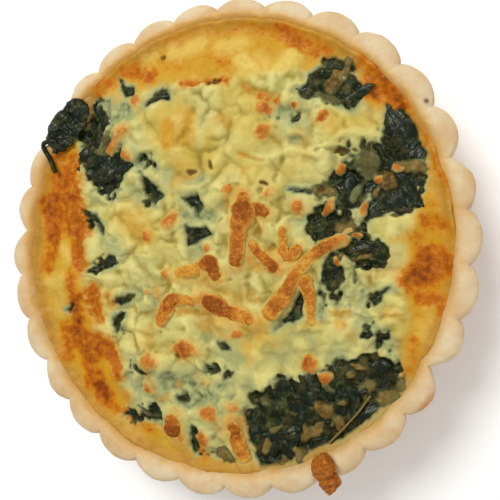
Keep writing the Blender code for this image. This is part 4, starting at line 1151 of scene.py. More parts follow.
# The shared effects: what builds each one, its numbers, its output and that output's kind.
EFFECTS = {
    "cloud": (cloud_nodes, ("Scale", "Detail", "Roughness", "Low", "High", "To Low", "To High"),
              "Value", "Float"),
    "grain": (grain_nodes, ("Scale", "Detail", "Roughness", "Height", "Strength",
                            "Wide Scale", "Wide Height", "Wide Strength"), "Normal", "Vector"),
}


def effect_group(name):
    """The node group of a shared effect, made once: a place and numbers in, one value out."""
    if name not in bpy.data.node_groups:
        build, numbers, output, kind = EFFECTS[name]
        group = bpy.data.node_groups.new(name, "ShaderNodeTree")
        group.interface.new_socket("Place", in_out="INPUT", socket_type="NodeSocketVector")
        for number in numbers:
            group.interface.new_socket(number, in_out="INPUT", socket_type="NodeSocketFloat")
        group.interface.new_socket(output, in_out="OUTPUT", socket_type="NodeSocket" + kind)
        nodes = Nodes(group)
        given = group.nodes.new("NodeGroupInput").outputs
        made = build(nodes, given["Place"], *(given[number] for number in numbers))
        nodes.feed(group.nodes.new("NodeGroupOutput").inputs[output], made)
    return bpy.data.node_groups[name]


class Shader(Nodes):
    """Builds one material's nodes, left to right, around a Principled shader. Sizes are in millimetres."""

    def __init__(self, name):
        self.material = bpy.data.materials.new(name)
        self.material.use_nodes = True
        super().__init__(self.material.node_tree)
        self.principled = self.tree.nodes["Principled BSDF"]
        self.place = self.tree.nodes.new("ShaderNodeTexCoord").outputs["Object"]

    def mask(self, name):
        return self.node("ShaderNodeAttribute", attribute_name=name).outputs["Fac"]

    def noise(self, size, detail, roughness=ROUGHNESS):
        """Noise whose blotches are about as wide as size."""
        return self.noise_at(self.place, 1 / (size * METRES), detail, roughness)

    def effect(self, name, *numbers):
        """A shared effect, placed in this material with its own numbers."""
        made = self.node("ShaderNodeGroup", node_tree=effect_group(name))
        for socket, value in zip(made.inputs, (self.place, *numbers)):
            self.feed(socket, value)
        return made.outputs[0]

    def cloud(self, size, detail, low, high, to_low=0.0, to_high=1.0, roughness=ROUGHNESS):
        return self.effect("cloud", 1 / (size * METRES), detail, roughness, low, high, to_low, to_high)

    def grain(self, size, detail, roughness, height, strength, wide_size, wide_height, wide_strength):
        return self.effect("grain", 1 / (size * METRES), detail, roughness, height * METRES, strength,
                           1 / (wide_size * METRES), wide_height * METRES, wide_strength)

    def over(self, below, name, strength, colour):
        """A colour laid over what is below it, as strongly as a mask says."""
        return self.mix(self.times(self.mask(name), strength), below, colour)

    def finish(self, colour, roughness, normal, **settings):
        """Joins the colour, roughness and normal, and sets the shader's plain values."""
        self.feed(self.principled.inputs["Base Color"], colour)
        self.feed(self.principled.inputs["Roughness"], roughness)
        self.feed(self.principled.inputs["Normal"], normal)
        for key, value in settings.items():
            self.principled.inputs[key.replace("_", " ")].default_value = value
        return self.material


def soften(shader, weight, scale):
    """Lets some light into a food's surface."""
    shader.principled.inputs["Subsurface Weight"].default_value = weight
    shader.principled.inputs["Subsurface Scale"].default_value = scale * METRES
    shader.principled.inputs["Subsurface Radius"].default_value = (1.0, 0.8, 0.5)


def pastry_finish(settings):
    """Pale matt crust, tan in patches, toasted on the wall and base, stained by the custard, with painted
    shade in the rim's notches, along its outer edge and on the inner wall at the left.
    """
    shader = Shader("baked_pastry")
    patches = shader.times(shader.cloud(9, 3, 0.38, 0.66), 0.8)
    colour = shader.mix(patches, settings.pale, settings.tan)
    # Toasted crust, and painted shade in the rim's notches and along its outer edge.
    toast = shader.plus(shader.mask("toast"), shader.cloud(5, 4, 0.3, 0.7, -0.22, 0.22))
    colour = shader.mix(shader.ranged(toast, 0.1, 1.0), colour, settings.toasted)
    # Custard stains, and painted shade on the inner wall at the left.
    stain_and_shade = shader.plus(shader.mask("stain_and_shade"), shader.cloud(3, 4, 0.3, 0.7, -0.25, 0.25))
    colour = shader.mix(shader.ranged(stain_and_shade, 0.05, 1.0), colour, settings.stained)
    colour = shader.mix(shader.ranged(stain_and_shade, 0.65, 1.3), colour, STAIN_EDGE)
    colour = shader.mix(shader.mask("scorch"), colour, SCORCH)
    colour = shader.mix(shader.cloud(0.9, 2, 0.66, 0.78, 0, 0.25), colour, settings.tan)
    normal = shader.grain(0.7, 4, 0.7, 0.1, 0.6, 2.6, 0.25, 0.5)
    soften(shader, 0.12, 1.2)
    return shader.finish(colour, shader.ranged(shader.mask("stain_and_shade"), 0, 1, 0.72, 0.5), normal)


def cheese_colour(shader, settings):
    """Cheese in pale and greenish clouds, golden where it has melted, with a painted highlight on raised
    parts and painted shade down its creases.
    """
    colour = shader.mix(shader.cloud(5, 4, 0.32, 0.68), settings.cheese, PALE_CHEESE)
    colour = shader.mix(shader.cloud(11, 3, 0.46, 0.7, 0, 0.6), colour, GREENISH_CHEESE)
    colour = shader.over(colour, "melt", 0.8, MELTED_CHEESE)
    # Painted highlight on raised cheese.
    colour = shader.over(colour, "raised", 0.6, RAISED_CHEESE_HIGHLIGHT)
    # Painted shade in hollows and creases, and darker lines of painted shade along the creases between
    # lobes.
    colour = shader.over(colour, "crease_shade", 0.9, settings.crease_shade)
    return shader.over(colour, "line", 0.75, CREASE_SHADE_LINE)


def custard_colour(shader, settings):
    """Custard, golden near its browned patches, with a painted highlight on its bulges, and dull by the
    wall.
    """
    colour = shader.mix(shader.cloud(6, 3, 0.35, 0.65), settings.custard, LIGHT_CUSTARD)
    colour = shader.over(colour, "golden", 0.8, settings.golden)
    # Painted highlight on the bulges.
    colour = shader.over(colour, "bulge", 0.7, BULGE_HIGHLIGHT)
    return shader.over(colour, "edge", shader.cloud(2.4, 4, 0.3, 0.7, 0.55, 1.1), RIND)


def island_colour(shader, tan):
    """Cheese among the leaves: greyish to tan, with dark spots and a dark edge."""
    mottled = shader.times(tan, shader.cloud(1.4, 4, 0.3, 0.7, 0.35, 1.1, 0.6))
    spots = shader.cloud(1.8, 4, 0.46, 0.7, 0, 0.65, 0.6)
    colour = shader.mix(spots, shader.ramp(mottled, ISLAND_TONES), ISLAND_SPOTS)
    return shader.mix(shader.ranged(tan, 0.1, 0.75), ISLAND_EDGE, colour)


def gap_colour(shader):
    """Leaf in the gaps of the cheese: painted sheen on its ridges, dried patches and a greyish film."""
    colour = shader.mix(shader.ranged(shader.mask("ridge"), 0.2, 1.0), GAP_LEAF, GAP_RIDGE_SHEEN)
    colour = shader.mix(shader.cloud(3, 3, 0.54, 0.68, 0, 0.8), colour, GAP_DRY)
    return shader.mix(shader.cloud(2.2, 4, 0.5, 0.72, 0, 0.65, 0.6), colour, GAP_FILM)


def filling_finish(settings):
    """Cheese, creased and veiled over leaves; custard from gold to dark brown; leaf in the gaps."""
    shader = Shader("cheese_and_custard")
    custard, cheese = custard_colour(shader, settings), cheese_colour(shader, settings)
    colour = shader.mix(shader.mask("cover"), custard, cheese)
    veil = shader.times(shader.mask("veil"), shader.cloud(1.6, 4, 0.25, 0.75, 0.6, 1.4, 0.6))
    colour = shader.mix(shader.ranged(veil, 0.03, 0.75), colour, settings.veil)
    colour = shader.mix(shader.ranged(veil, 0.68, 1.25), colour, DEEP_VEIL)
    toast = shader.times(shader.mask("toasting"), shader.cloud(1.8, 3, 0.3, 0.7, 0.6, 1.4))
    colour = shader.mix(shader.ranged(toast, 0.05, 1.1), colour, TOASTED_CHEESE)
    brown = shader.times(shader.mask("browning"), shader.cloud(1.6, 6, 0.25, 0.75, 0.25, 1.75, 0.72))
    tones = ((0.0, settings.golden), (0.4, settings.brown), (1.0, settings.dark))
    tone = shader.ramp(shader.ranged(brown, 0.15, 1.7), tones)
    colour = shader.mix(shader.ranged(brown, 0.05, 0.7), colour, tone)
    lump = shader.times(shader.mask("lump"), shader.cloud(1.2, 5, 0.25, 0.75, 0.5, 1.5, 0.7))
    tone = shader.ramp(shader.ranged(lump, 0.1, 1.2), LUMP_TONES)
    colour = shader.mix(shader.ranged(lump, 0.08, 0.62), colour, tone)
    tan = shader.mask("tan")
    colour = shader.mix(shader.ranged(tan, 0.02, 0.3), colour, island_colour(shader, tan))
    # Dark specks, and painted shade in the holes.
    colour = shader.over(colour, "dark", 0.85, SPECK_AND_HOLE_SHADE)
    colour = shader.mix(shader.ranged(shader.mask("window"), 0.1, 0.75), colour, gap_colour(shader))
    normal = shader.grain(0.45, 4, 0.7, 0.12, 0.6, 1.5, 0.2, 0.5)
    soften(shader, 0.08, 1.0)
    rough = shader.cloud(1.1, 3, 0.3, 0.7, 0.26, 0.56)
    return shader.finish(colour, rough, normal, Specular_IOR_Level=0.2, Specular_Tint=CHEESE_GLEAM)


def spinach_finish(settings):
    """Dark wet leaf: painted sheen on its ridges, paler veins, dried olive patches, and a broken gloss."""
    shader = Shader("wilted_spinach")
    # Painted sheen on the ridges, and the paler veins.
    ridge = shader.times(shader.mask("ridge"), shader.cloud(0.7, 3, 0.35, 0.65, 0.4, 1.2))
    colour = shader.mix(shader.ranged(ridge, 0.2, 1.3), settings.leaf, settings.ridge)
    colour = shader.mix(shader.cloud(3.2, 3, 0.53, 0.68, 0, 0.85), colour, settings.olive)
    colour = shader.mix(shader.cloud(2.4, 4, 0.56, 0.76, 0, 0.5, 0.6), colour, LEAF_FILM)
    colour = shader.mix(shader.mask("stem"), colour, settings.stem)
    normal = shader.grain(0.5, 3, 0.6, 0.06, 0.6, 1.8, 0.2, 0.5)
    rough = shader.cloud(0.8, 3, 0.35, 0.65, 0.18, 0.5)
    return shader.finish(colour, rough, normal, Specular_IOR_Level=0.24, Specular_Tint=LEAF_GLEAM)


def shred_finish(settings):
    """Browned cheese: pale through orange to dark brown, with a rough oily skin."""
    shader = Shader("browned_cheese")
    brown = shader.plus(shader.mask("brown"), shader.cloud(1.5, 5, 0.25, 0.75, -0.34, 0.34, 0.7))
    tones = ((0.0, STRAW_SHRED), (0.2, settings.pale), (0.5, settings.orange), (0.9, settings.brown))
    colour = shader.ramp(shader.ranged(brown, 0, 1.3), tones)
    grain = shader.noise(0.75, 4, 0.7)
    colour = shader.mix(shader.ranged(grain, 0.54, 0.72, 0, 0.5), colour, settings.brown)
    colour = shader.mix(shader.ranged(grain, 0.46, 0.28, 0, 0.5), colour, SHRED_GRAIN)
    normal = shader.grain(0.75, 4, 0.7, 0.35, 1.0, 1.1, 0.3, 0.7)
    rough = shader.cloud(0.8, 3, 0.3, 0.7, 0.4, 0.66)
    soften(shader, 0.08, 0.8)
    return shader.finish(colour, rough, normal, Specular_IOR_Level=0.24, Specular_Tint=CHEESE_GLEAM)


def finish_named(name, make, settings):
    """A material that several pieces share, made once."""
    if name not in MADE:
        MADE[name] = make(settings)
    return MADE[name]


def add_leaf(name, points, faces, settings, replaced=(), **masks):
    """One piece of spinach, with the finish that all of them share."""
    finish = finish_named("spinach", spinach_finish, settings)
    add_piece("leaf_" + name, points, faces, finish, replaced, masks)


def add_browned(name, points, faces, settings, replaced, brown):
    """One piece of browned cheese, with the finish that all of them share."""
    finish = finish_named("browned", shred_finish, settings)
    add_piece(name, points, faces, finish, replaced, {"brown": brown})


def pastry_masks(x, y, height, angle, radius, lobe, flat):
    """Where the crust is toasted, stained by the custard and scorched, and where shade is painted: in the
    rim's notches and along its outer edge in the toast mask, and on the inner wall at the left in the stain
    mask.
    """
    outer = soft(NOTCH_RADIUS - 1, NOTCH_RADIUS + 1.5, radius)
    # Toasting on the wall and base, plus painted shade along the rim's outer edge and in its notches near
    # the top.
    toast = 0.85 * soft(20.5, 12, height) * (radius > 40) + 0.5 * flat + 0.35 * outer * soft(23, 20, height)
    toast += 0.35 * (1 - lobe) * soft(24, 21, height)
    toast += 0.9 * bump(turn_from(angle, -36), 2.5) * soft(NOTCH_RADIUS, NOTCH_RADIUS + 2, radius)
    inward = soft(INNER_TOP + 3.4, INNER_TOP - 0.2, radius) * (height > 18)
    back = bump(turn_from(angle, 92), 38)
    # Custard soaked into the rim, plus painted shade on the inner wall at the left, round 178 degrees.
    stain_and_shade = inward * (0.58 + 0.42 * back + 0.25 * bump(turn_from(angle, 178), 14))
    stain_and_shade += 0.75 * back * soft(NOTCH_RADIUS + 1.5, INNER_TOP, radius) * (height > 18)
    scorch = 0.8 * bump(np.hypot(x + 52.6, y - 12.7), 0.8) + 1.2 * bump(np.hypot(x - 50.2, y - 31.8), 0.42)
    return toast, stain_and_shade, np.clip(scorch, 0, 1)


def build_pastry(settings):
    """The case as rings: base, fluted wall, pillowed rim, inner wall and floor, closed at both poles."""
    count = FLUTES * STEPS_A_FLUTE
    angle = FIRST_NOTCH + np.arange(count) * math.tau / count
    reach = flute_reach(angle)
    lobe = flute_lobe(angle)
    top = rim_height(angle) - 0.45 * (1 - lobe) - 0.1 * np.sin(23 * angle)
    rows = []
    base = BASE_RADIUS - BASE_ROUNDING + 0.6 * reach
    for share in np.linspace(0.25, 1, 8):
        rows.append((share * base, 0 * angle))
    for turn in np.linspace(0.2, 1, 5) * math.pi / 2:
        rows.append((base + (BASE_ROUNDING + 0.15 * reach) * math.sin(turn),
                     BASE_ROUNDING * (1 - math.cos(turn)) + 0 * angle))
    for share in np.linspace(0, 1, 18)[1:]:
        radius = BASE_RADIUS + 0.75 * reach + share * (NOTCH_RADIUS - BASE_RADIUS + 0.25 * reach)
        rows.append((radius, BASE_ROUNDING + share * (SPRING - BASE_ROUNDING) + 0 * angle))
    inner = inner_radius(angle, SPRING)
    turns = np.linspace(0, 0.5, 15)[1:] * math.pi
    for share in (*(CROWN * (1 - np.cos(turns))), *np.linspace(CROWN, 1, 18)[1:]):
        rows.append((inner + (1 - share) * (NOTCH_RADIUS - inner) + reach * (1 - share) ** 2,
                     SPRING + rim_curve(share) * (top - SPRING)))
    for height in (19.5, 17, HIDDEN_FLOOR):
        rows.append((inner_radius(angle, height), height + 0 * angle))
    for share in (0.66, 0.33):
        rows.append((share * inner_radius(angle, HIDDEN_FLOOR), HIDDEN_FLOOR + 0 * angle))
    radius = np.array([row[0] for row in rows])
    height = np.array([row[1] for row in rows])
    flat = height < 0.01
    arc = angle * NOTCH_RADIUS
    steps = np.hypot(np.diff(radius, axis=0, prepend=0), np.diff(height, axis=0, prepend=0))
    run = np.cumsum(steps, axis=0)
    arcs = arc + 0 * run
    rough = settings.grain * (fractal(arcs, run, 3.2, 201) + 0.45 * noise(arcs, run, 0.8, 211))
    rough = np.where(flat, 0, rough) * soft(0, 3, np.minimum(arc - arc[0], arc[-1] - arc))
    height = height + np.where(flat | (height < 15), 0, rough)
    x, y = (radius + rough) * np.cos(angle), (radius + rough) * np.sin(angle)
    masks = pastry_masks(x, y, height, angle, radius, lobe, flat)
    points = np.stack([x, y, height], -1).reshape(-1, 3)
    total = len(points)
    points = np.vstack([points, [(0, 0, 0), (0, 0, HIDDEN_FLOOR)]])
    faces = [grid_faces(len(rows), count, wrap=True), fan_faces(np.arange(count), total),
             fan_faces(np.arange(total - count, total), total + 1, flip=True)]
    at_poles = {"toast": (0.5, 0.5), "stain_and_shade": (0, 0), "scorch": (0, 0)}
    masks = {key: np.append(mask, at_poles[key]) for key, mask in zip(at_poles, masks)}
    finish = finish_named("pastry", pastry_finish, settings)
    add_piece("quiche_pastry", points, faces, finish, ("pastry_case",), masks)


def round_grid(count):
    """A square grid drawn out to a disc of radius 1: each point's place and its angle."""
    a, b = np.meshgrid(*[np.linspace(-1, 1, count)] * 2, indexing="ij")
    wide = np.abs(a) >= np.abs(b)
    share = np.where(wide, a, b)
    safe = np.where(share == 0, 1, share)
    angle = np.where(wide, math.pi / 4 * b / safe, math.pi / 2 - math.pi / 4 * a / safe)
    x, y = share * np.cos(angle), share * np.sin(angle)
    return x, y, np.arctan2(y, x)


def build_filling(settings):
    """The top on a disc of cells, a skirt that sinks into the wall, and a flat underside."""
    top = topping()
    x, y, angle = round_grid(TOP_CELLS + 1)
    reach = inner_radius(angle, custard_edge(angle)) + LET_IN
    x, y = x * reach, y * reach
    upper = np.stack([x, y, top.read(top.height, x, y)], -1).reshape(-1, 3)
    ring = edge_ring(*x.shape)
    lower = upper[ring] * (0.95, 0.95, 0) + (0, 0, UNDERSIDE)
    size, count = len(upper), len(ring)
    points = np.vstack([upper, lower, [(0, 0, UNDERSIDE)]])
    low = size + np.arange(count)
    skirt = np.stack([ring, low, np.roll(low, -1), np.roll(ring, -1)], 1)
    faces = [grid_faces(*x.shape), skirt, fan_faces(low, size + count, flip=True)]
    hidden = np.zeros(count + 1)
    masks = {key: np.append(top.read(field, x, y), hidden) for key, field in top.masks.items()}
    finish = finish_named("filling", filling_finish, settings)
    add_piece("quiche_filling", points, faces, finish, ("egg_filling",), masks)


def leaf_sheet(outline, lift, number, settings):
    """A wrinkled leaf under one window: an oval sheet round the outline, ridged along its length."""
    top = topping()
    corners = placed(outline)
    spread = corners - corners.mean(0)
    _, _, axes = np.linalg.svd(spread, full_matrices=False)
    turned = spread @ axes.T
    middle = corners.mean(0) + 0.5 * (turned.min(0) + turned.max(0)) @ axes
    half_long, half_wide = 0.5 * np.ptp(turned, axis=0) + LEAF_MARGIN
    rows = int(np.clip(2 * half_long / LEAF_STEP, 16, 110))
    columns = int(np.clip(2 * half_wide / LEAF_STEP, 12, 80))
    u, v = np.meshgrid(np.linspace(-1, 1, rows), np.linspace(-1, 1, columns), indexing="ij")
    width = np.clip(1 - np.abs(u) ** 4, 0.03, 1) ** 0.25
    s, t = u * half_long, v * half_wide * width
    x = middle[0] + axes[0][0] * s + axes[1][0] * t
    y = middle[1] + axes[0][1] * s + axes[1][1] * t
    seed = 300 + 10 * number
    wander = 0.8 * noise(s, t, 4, seed + 4), 0.9 * noise(s, t, 5, seed + 3)
    folds = ridged(0.35 * s + wander[0], t + wander[1], 4.2, seed, 2)
    fine = ridged(0.4 * s, t, 1.2, seed + 5, 2)
    edge = soft(0.75, 1.0, np.maximum(np.abs(u), np.abs(v)))
    wrinkle = settings.wrinkle * (1.25 * (folds - 0.45) + 0.12 * (fine - 0.4))
    height = top.read(top.smooth, x, y) - 0.9 + lift + wrinkle
    height += 0.3 * noise(s, t, 4.5, seed + 7) - 0.9 * edge - (1.3 + lift) * top.read(top.island, x, y)
    slant = 0.5 + 0.4 * noise(s, t, 5, seed + 8)
    midrib = bump(t - 0.4 * noise(s, 0 * t, 4, seed + 9), 0.16)
    side_veins = bump((s / 2.6 + slant * np.abs(t) / 2) % 1 - 0.5, 0.07)
    veins = np.maximum(midrib, 0.6 * side_veins)
    # Painted sheen on the fold crests, and the paler veins.
    ridge = np.maximum(soft(0.35, 1.0, 0.6 * folds + 0.4 * fine), 0.75 * veins)
    points, faces = thick_sheet(x, y, height + 0.14 * veins, settings.thickness)
    return kept_inside(points), faces, np.tile(ridge.ravel(), 2)


def scrap(place, long, wide, turn, curl, seed):
    """A small folded leaf: an oval sheet, arched across and curled along, with a midrib and side veins."""
    u, v = np.meshgrid(np.linspace(-1, 1, 22), np.linspace(-1, 1, 14), indexing="ij")
    width = np.clip(1 - np.abs(u) ** 2.6, 0.05, 1) ** 0.6 * (1 + 0.22 * noise(3 * u, 2 * v, 0.8, seed))
    s, t = u * long, v * wide * width
    bow = 0.25 * long * noise(u, 0 * u, 1.2, seed + 1)
    rise = 0.26 * wide * (1 - v * v) + curl * long * u * abs(curl) + 0.3 * noise(s, t, 1.3, seed + 2)
    rise = rise + 0.35 * ridged(0.5 * s, t, 1.5, seed + 3, 2)
    veins = np.maximum(bump(v, 0.07), 0.7 * bump((u * 3.2 + np.abs(v)) % 1 - 0.5, 0.1) * (np.abs(v) < 0.8))
    c, k = math.cos(turn), math.sin(turn)
    x = place[0] + c * s - k * (t + bow)
    y = place[1] + k * s + c * (t + bow)
    points, faces = thick_sheet(x, y, place[2] + rise + 0.06 * veins, SCRAP_THICKNESS)
    return kept_inside(points), faces, np.tile(veins.ravel(), 2)


def build_scraps(settings):
    """Small leaves strewn over each other wherever leaf shows over a wide area."""
    top = topping()
    draw = np.random.default_rng(31)
    wide_open = blurred(top.window, 1.6)
    parts = []
    for number in range(SCRAP_TRIES):
        x, y = draw.uniform(-52, 52, 2)
        long, wide, curl = draw.uniform(*SCRAP_LENGTH), draw.uniform(*SCRAP_WIDTH), draw.normal(0, 0.16)
        open_share = float(top.read(wide_open, x, y))
        if open_share > 0.66 and float(top.read(top.loose, x, y)) > 0.5 and draw.uniform() < 0.42:
            turn = math.pi * float(noise(x, y, 9, 801)) * 1.5 + draw.normal(0, 0.5)
            height = float(top.read(top.smooth, x, y)) - 0.75 + draw.uniform(-0.25, 0.3)
            parts.append(scrap((x, y, height), long, wide, turn, curl, 810 + number))
    points, faces, ridge = joined(parts)
    add_leaf("scraps", points, faces, settings, ridge=ridge)


def kept_inside(points):
    """Points drawn in towards the middle, and down, where they would reach past the case's inner wall."""
    radius = np.hypot(points[:, 0], points[:, 1])
    over = np.clip(radius - REACH_OF_LEAVES, 0, None)
    points[:, :2] *= (1 - over / np.maximum(radius, 1))[:, None]
    points[:, 2] -= 0.6 * over
    return points


def build_spinach(settings):
    """The leaf in each window, and then the chopped scraps."""
    for number, (name, (lift, outline)) in enumerate((WINDOWS | SMALL_LEAVES).items()):
        points, faces, ridge = leaf_sheet(outline, lift, number, settings)
        solid = ("spinach_" + name.removesuffix("_fold"),) if name in WINDOWS else ()
        add_leaf(name, points, faces, settings, solid, ridge=ridge)
    build_scraps(settings)


def smooth_path(corners, step):
    """A Catmull-Rom curve through a few corners at even steps, and its side direction.

    The first two columns are a place, and further ones, such as a width, go along with it.
    """
    corners = np.asarray(corners, float)
    ends = 2 * corners[[0, -1]] - corners[[1, -2]]
    p = np.vstack([ends[:1], corners, ends[1:]])
    t = np.linspace(0, 1, 20, endpoint=False)[:, None]
    parts = []
    for a, b, c, d in zip(p, p[1:], p[2:], p[3:]):
        bent = (2 * a - 5 * b + 4 * c - d) * t**2 + (3 * b - a - 3 * c + d) * t**3
        parts.append(0.5 * (2 * b + (c - a) * t + bent))
    fine = np.vstack([*parts, corners[-1:]])
    along = np.concatenate([[0], np.cumsum(np.hypot(*np.diff(fine[:, :2], axis=0).T))])
    even = np.linspace(0, along[-1], max(4, round(along[-1] / step) + 1))
    line = np.stack([np.interp(even, along, column) for column in fine.T], 1)
    ahead = np.gradient(line[:, :2], axis=0)
    ahead /= np.hypot(*ahead.T)[:, None]
    return line, np.stack([-ahead[:, 1], ahead[:, 0]], 1)


def tube(line, aside, half, thick, middle, sides, rough, seed):
    """A closed strip with a squarish section along a path, roughened, and its share along and round."""
    turn = math.tau * np.arange(sides) / sides
    count = len(line)
    flare = 1 + 0.3 * np.clip(-np.sin(turn), 0, 1)
    wide = half[:, None] * flare * np.sign(np.cos(turn)) * np.abs(np.cos(turn)) ** 0.7
    rise = thick[:, None] * np.sign(np.sin(turn)) * np.abs(np.sin(turn)) ** 0.7
    arc = np.concatenate([[0], np.cumsum(np.hypot(*np.diff(line, axis=0).T))])[:, None]
    uneven = 1 + rough / max(float(half.max()), 0.1) * (
        1.2 * fractal(arc + 2 * np.cos(turn), 3 * np.sin(turn) + 0 * arc + 7 * seed, 2.6, 400 + seed)
        + 0.55 * fractal(arc + 2.5 * np.cos(turn), 2.5 * np.sin(turn) + 0 * arc, 0.75, 450 + seed, 2))
    x = line[:, :1] + aside[:, :1] * wide * uneven
    y = line[:, 1:] + aside[:, 1:] * wide * uneven
    z = middle[:, None] + rise * uneven
    points = np.stack([x, y, z], -1).reshape(-1, 3)
    ends = [[*line[0], middle[0]], [*line[-1], middle[-1]]]
    size = len(points)
    faces = [grid_faces(count, sides, wrap=True), fan_faces(np.arange(sides), size),
             fan_faces(np.arange(size - sides, size), size + 1, flip=True)]
    return np.vstack([points, ends]), faces, arc + 0 * turn, np.sin(turn) + 0 * arc


def evened(values, half):
    """A running mean over a path, as many points to each side as half."""
    count = 2 * half + 1
    return np.convolve(np.pad(values, half, mode="edge"), np.ones(count) / count, mode="valid")


def build_shreds(settings):
    """Each long shred, blunt at its ends, a little sunk in the cheese that it lies on."""
    top = topping()
    for number, (name, path) in enumerate(SHREDS.items()):
        path = np.array(path)
        line, aside = smooth_path(np.hstack([placed(path[:, :2]), path[:, 2:]]), SHRED_STEP)
        line, width, brown = line[:, :2], line[:, 2], line[:, 3]
        u = np.linspace(-1, 1, len(line))
        steps = np.arange(len(line))
        from_end = SHRED_STEP * np.minimum(steps, steps[::-1])
        taper = np.sqrt(np.clip(1 - (1 - np.clip(from_end / (0.9 * width), 0, 1)) ** 2, 0.01, 1))
        line = line + aside * (0.3 * noise(5 * u, 0 * u, 1.0, 560 + number))[:, None]
        half, thick = 1.06 * width * taper, (0.5 + 0.32 * width) * taper
        bed = evened(top.read(top.height, line[:, 0], line[:, 1]), 6)
        middle = bed - 0.2 - 0.17 * width + 0.1 * np.clip(brown, 0, 1)
        middle = middle + 0.12 * noise(3 * u, 0 * u, 1.0, 520 + number)
        points, faces, arc, crown = tube(line, aside, half, thick, middle, 36, settings.roughness, number)
        tone = brown[:, None] + 0.35 * fractal(arc, 3 * crown + 5 * number, 2.4, 540 + number, 2)
        tone = 1.2 * tone * (0.15 + 0.85 * soft(0.25, 0.95, crown)) * (0.4 + 0.6 * taper[:, None])
        tone = np.append(tone.ravel(), brown[[0, -1]] * 0.7)
        solid = () if name in SHREDS_WITHOUT_SOLID else ("cheese_shred_" + name,)
        add_browned("browned_shred_" + name, points, faces, settings, solid, tone)


def blob(centre, radii, turn, seed, rough):
    """A lump: a sphere of rows and columns, stretched, turned and roughened, closed at its poles."""
    rows, columns = 30, 44
    tilt = math.pi * np.arange(1, rows)[:, None] / rows
    spin = math.tau * np.arange(columns)[None, :] / columns
    unit = np.stack([np.sin(tilt) * np.cos(spin), np.sin(tilt) * np.sin(spin), np.cos(tilt) + 0 * spin], -1)
    unit = np.vstack([unit.reshape(-1, 3), [(0, 0, 1), (0, 0, -1)]])
    swell = 1 + rough * fractal(2 * unit[:, 0] + 9 * seed, 2 * unit[:, 1] + 2 * unit[:, 2], 1.6, 600 + seed)
    swell += 0.2 * rough * fractal(9 * unit[:, 0] + 5 * unit[:, 2], 9 * unit[:, 1], 1.3, 650 + seed)
    local = unit * swell[:, None] * radii
    c, s = math.cos(turn), math.sin(turn)
    x = c * local[:, 0] - s * local[:, 1]
    y = s * local[:, 0] + c * local[:, 1]
    points = np.stack([x, y, local[:, 2]], 1) + centre
    size = (rows - 1) * columns
    faces = [grid_faces(rows - 1, columns, wrap=True), fan_faces(np.arange(columns), size),
             fan_faces(np.arange(size - columns, size), size + 1, flip=True)]
    return points, faces, unit[:, 2]


def joined(parts):
    """Several meshes as one list of points and faces, with their masks end to end."""
    points, faces, masks, start = [], [], [], 0
    for part_points, part_faces, part_mask in parts:
        points.append(part_points)
        faces += [face + start for face in part_faces]
        masks.append(part_mask)
        start += len(part_points)
    return np.vstack(points), faces, np.concatenate(masks)


def surface_height(x, y):
    """The higher of the filling and the pastry's rim at each place near the rim."""
    top = topping()
    angle = np.arctan2(y, x)
    radius = np.hypot(x, y)
    reach = np.maximum(flute_reach(angle), 0.1)
    inner = inner_radius(angle, SPRING)
    width = NOTCH_RADIUS - inner
    out = (np.sqrt(np.clip(width**2 + 4 * reach * (radius - inner), 0, None)) - width) / (2 * reach)
    crown = SPRING + rim_curve(1 - out) * (rim_height(angle) - SPRING)
    filling = np.where(radius < inner + 1, top.read(top.smooth, x, y) + 0.2, 0)
    return np.maximum(np.where(radius > inner - 0.3, crown, 0), filling)


def build_rim_leaf(settings):
    """The crumpled leaf that lies over the rim at the upper left."""
    line, aside = smooth_path(placed(RIM_LEAF_PATH, RIM_LIFT), RIM_STEP)
    v = np.linspace(-1, 1, 44)[None, :]
    u = np.linspace(-1, 1, len(line))[:, None]
    blunt = np.clip(1 - np.abs(u) ** 3, 0.05, 1) ** 0.5
    half = RIM_LEAF_HALF_WIDTH * blunt * (1 + 0.2 * noise(4 * u, v, 0.9, 702))
    x = line[:, :1] + aside[:, :1] * half * v
    y = line[:, 1:] + aside[:, 1:] * half * v
    folds = ridged(x + y, 0.7 * (x - y), 2.2, 711)
    fine = ridged(x, y, 0.9, 721, 2)
    height = surface_height(x, y) + OFF_THE_RIM + 1.4 * folds * (1 - 0.5 * v * v) + 0.3 * (fine - 0.4)
    points, faces = thick_sheet(x, y, height, settings.thickness)
    # Painted sheen on the fold crests of the rim leaf.
    ridge = np.tile(soft(0.2, 0.85, 0.65 * folds + 0.35 * fine).ravel(), 2)
    add_leaf("rim", points, faces, settings, ("spinach_rim_left",), ridge=ridge)


def build_stem(settings):
    """The thin stem that loops over the rim."""
    line, aside = smooth_path(placed(STEM_PATH, RIM_LIFT), RIM_STEP)
    half = np.full(len(line), 0.5 * STEM_DIAMETER)
    height = np.maximum(surface_height(line[:, 0], line[:, 1]), CASE_HEIGHT - 1.8)
    points, faces, _, _ = tube(line, aside, half, half, evened(height, 8) + OFF_THE_RIM, 14, 0.1, 3)
    add_leaf("stem", points, faces, settings, ("spinach_stem",), ridge=np.full(len(points), 0.35))


def build_low_stem(settings):
    """The thin stem that lies across the leaves at the lower right."""
    top = topping()
    line, aside = smooth_path(placed(LOW_STEM_PATH), RIM_STEP)
    half = np.full(len(line), 0.5 * LOW_STEM_DIAMETER)
    height = top.read(top.smooth, line[:, 0], line[:, 1]) + 0.1
    points, faces, _, _ = tube(line, aside, half, half, height, 12, 0.06, 5)
    add_leaf("stem_low", points, faces, settings, stem=np.full(len(points), 0.9))


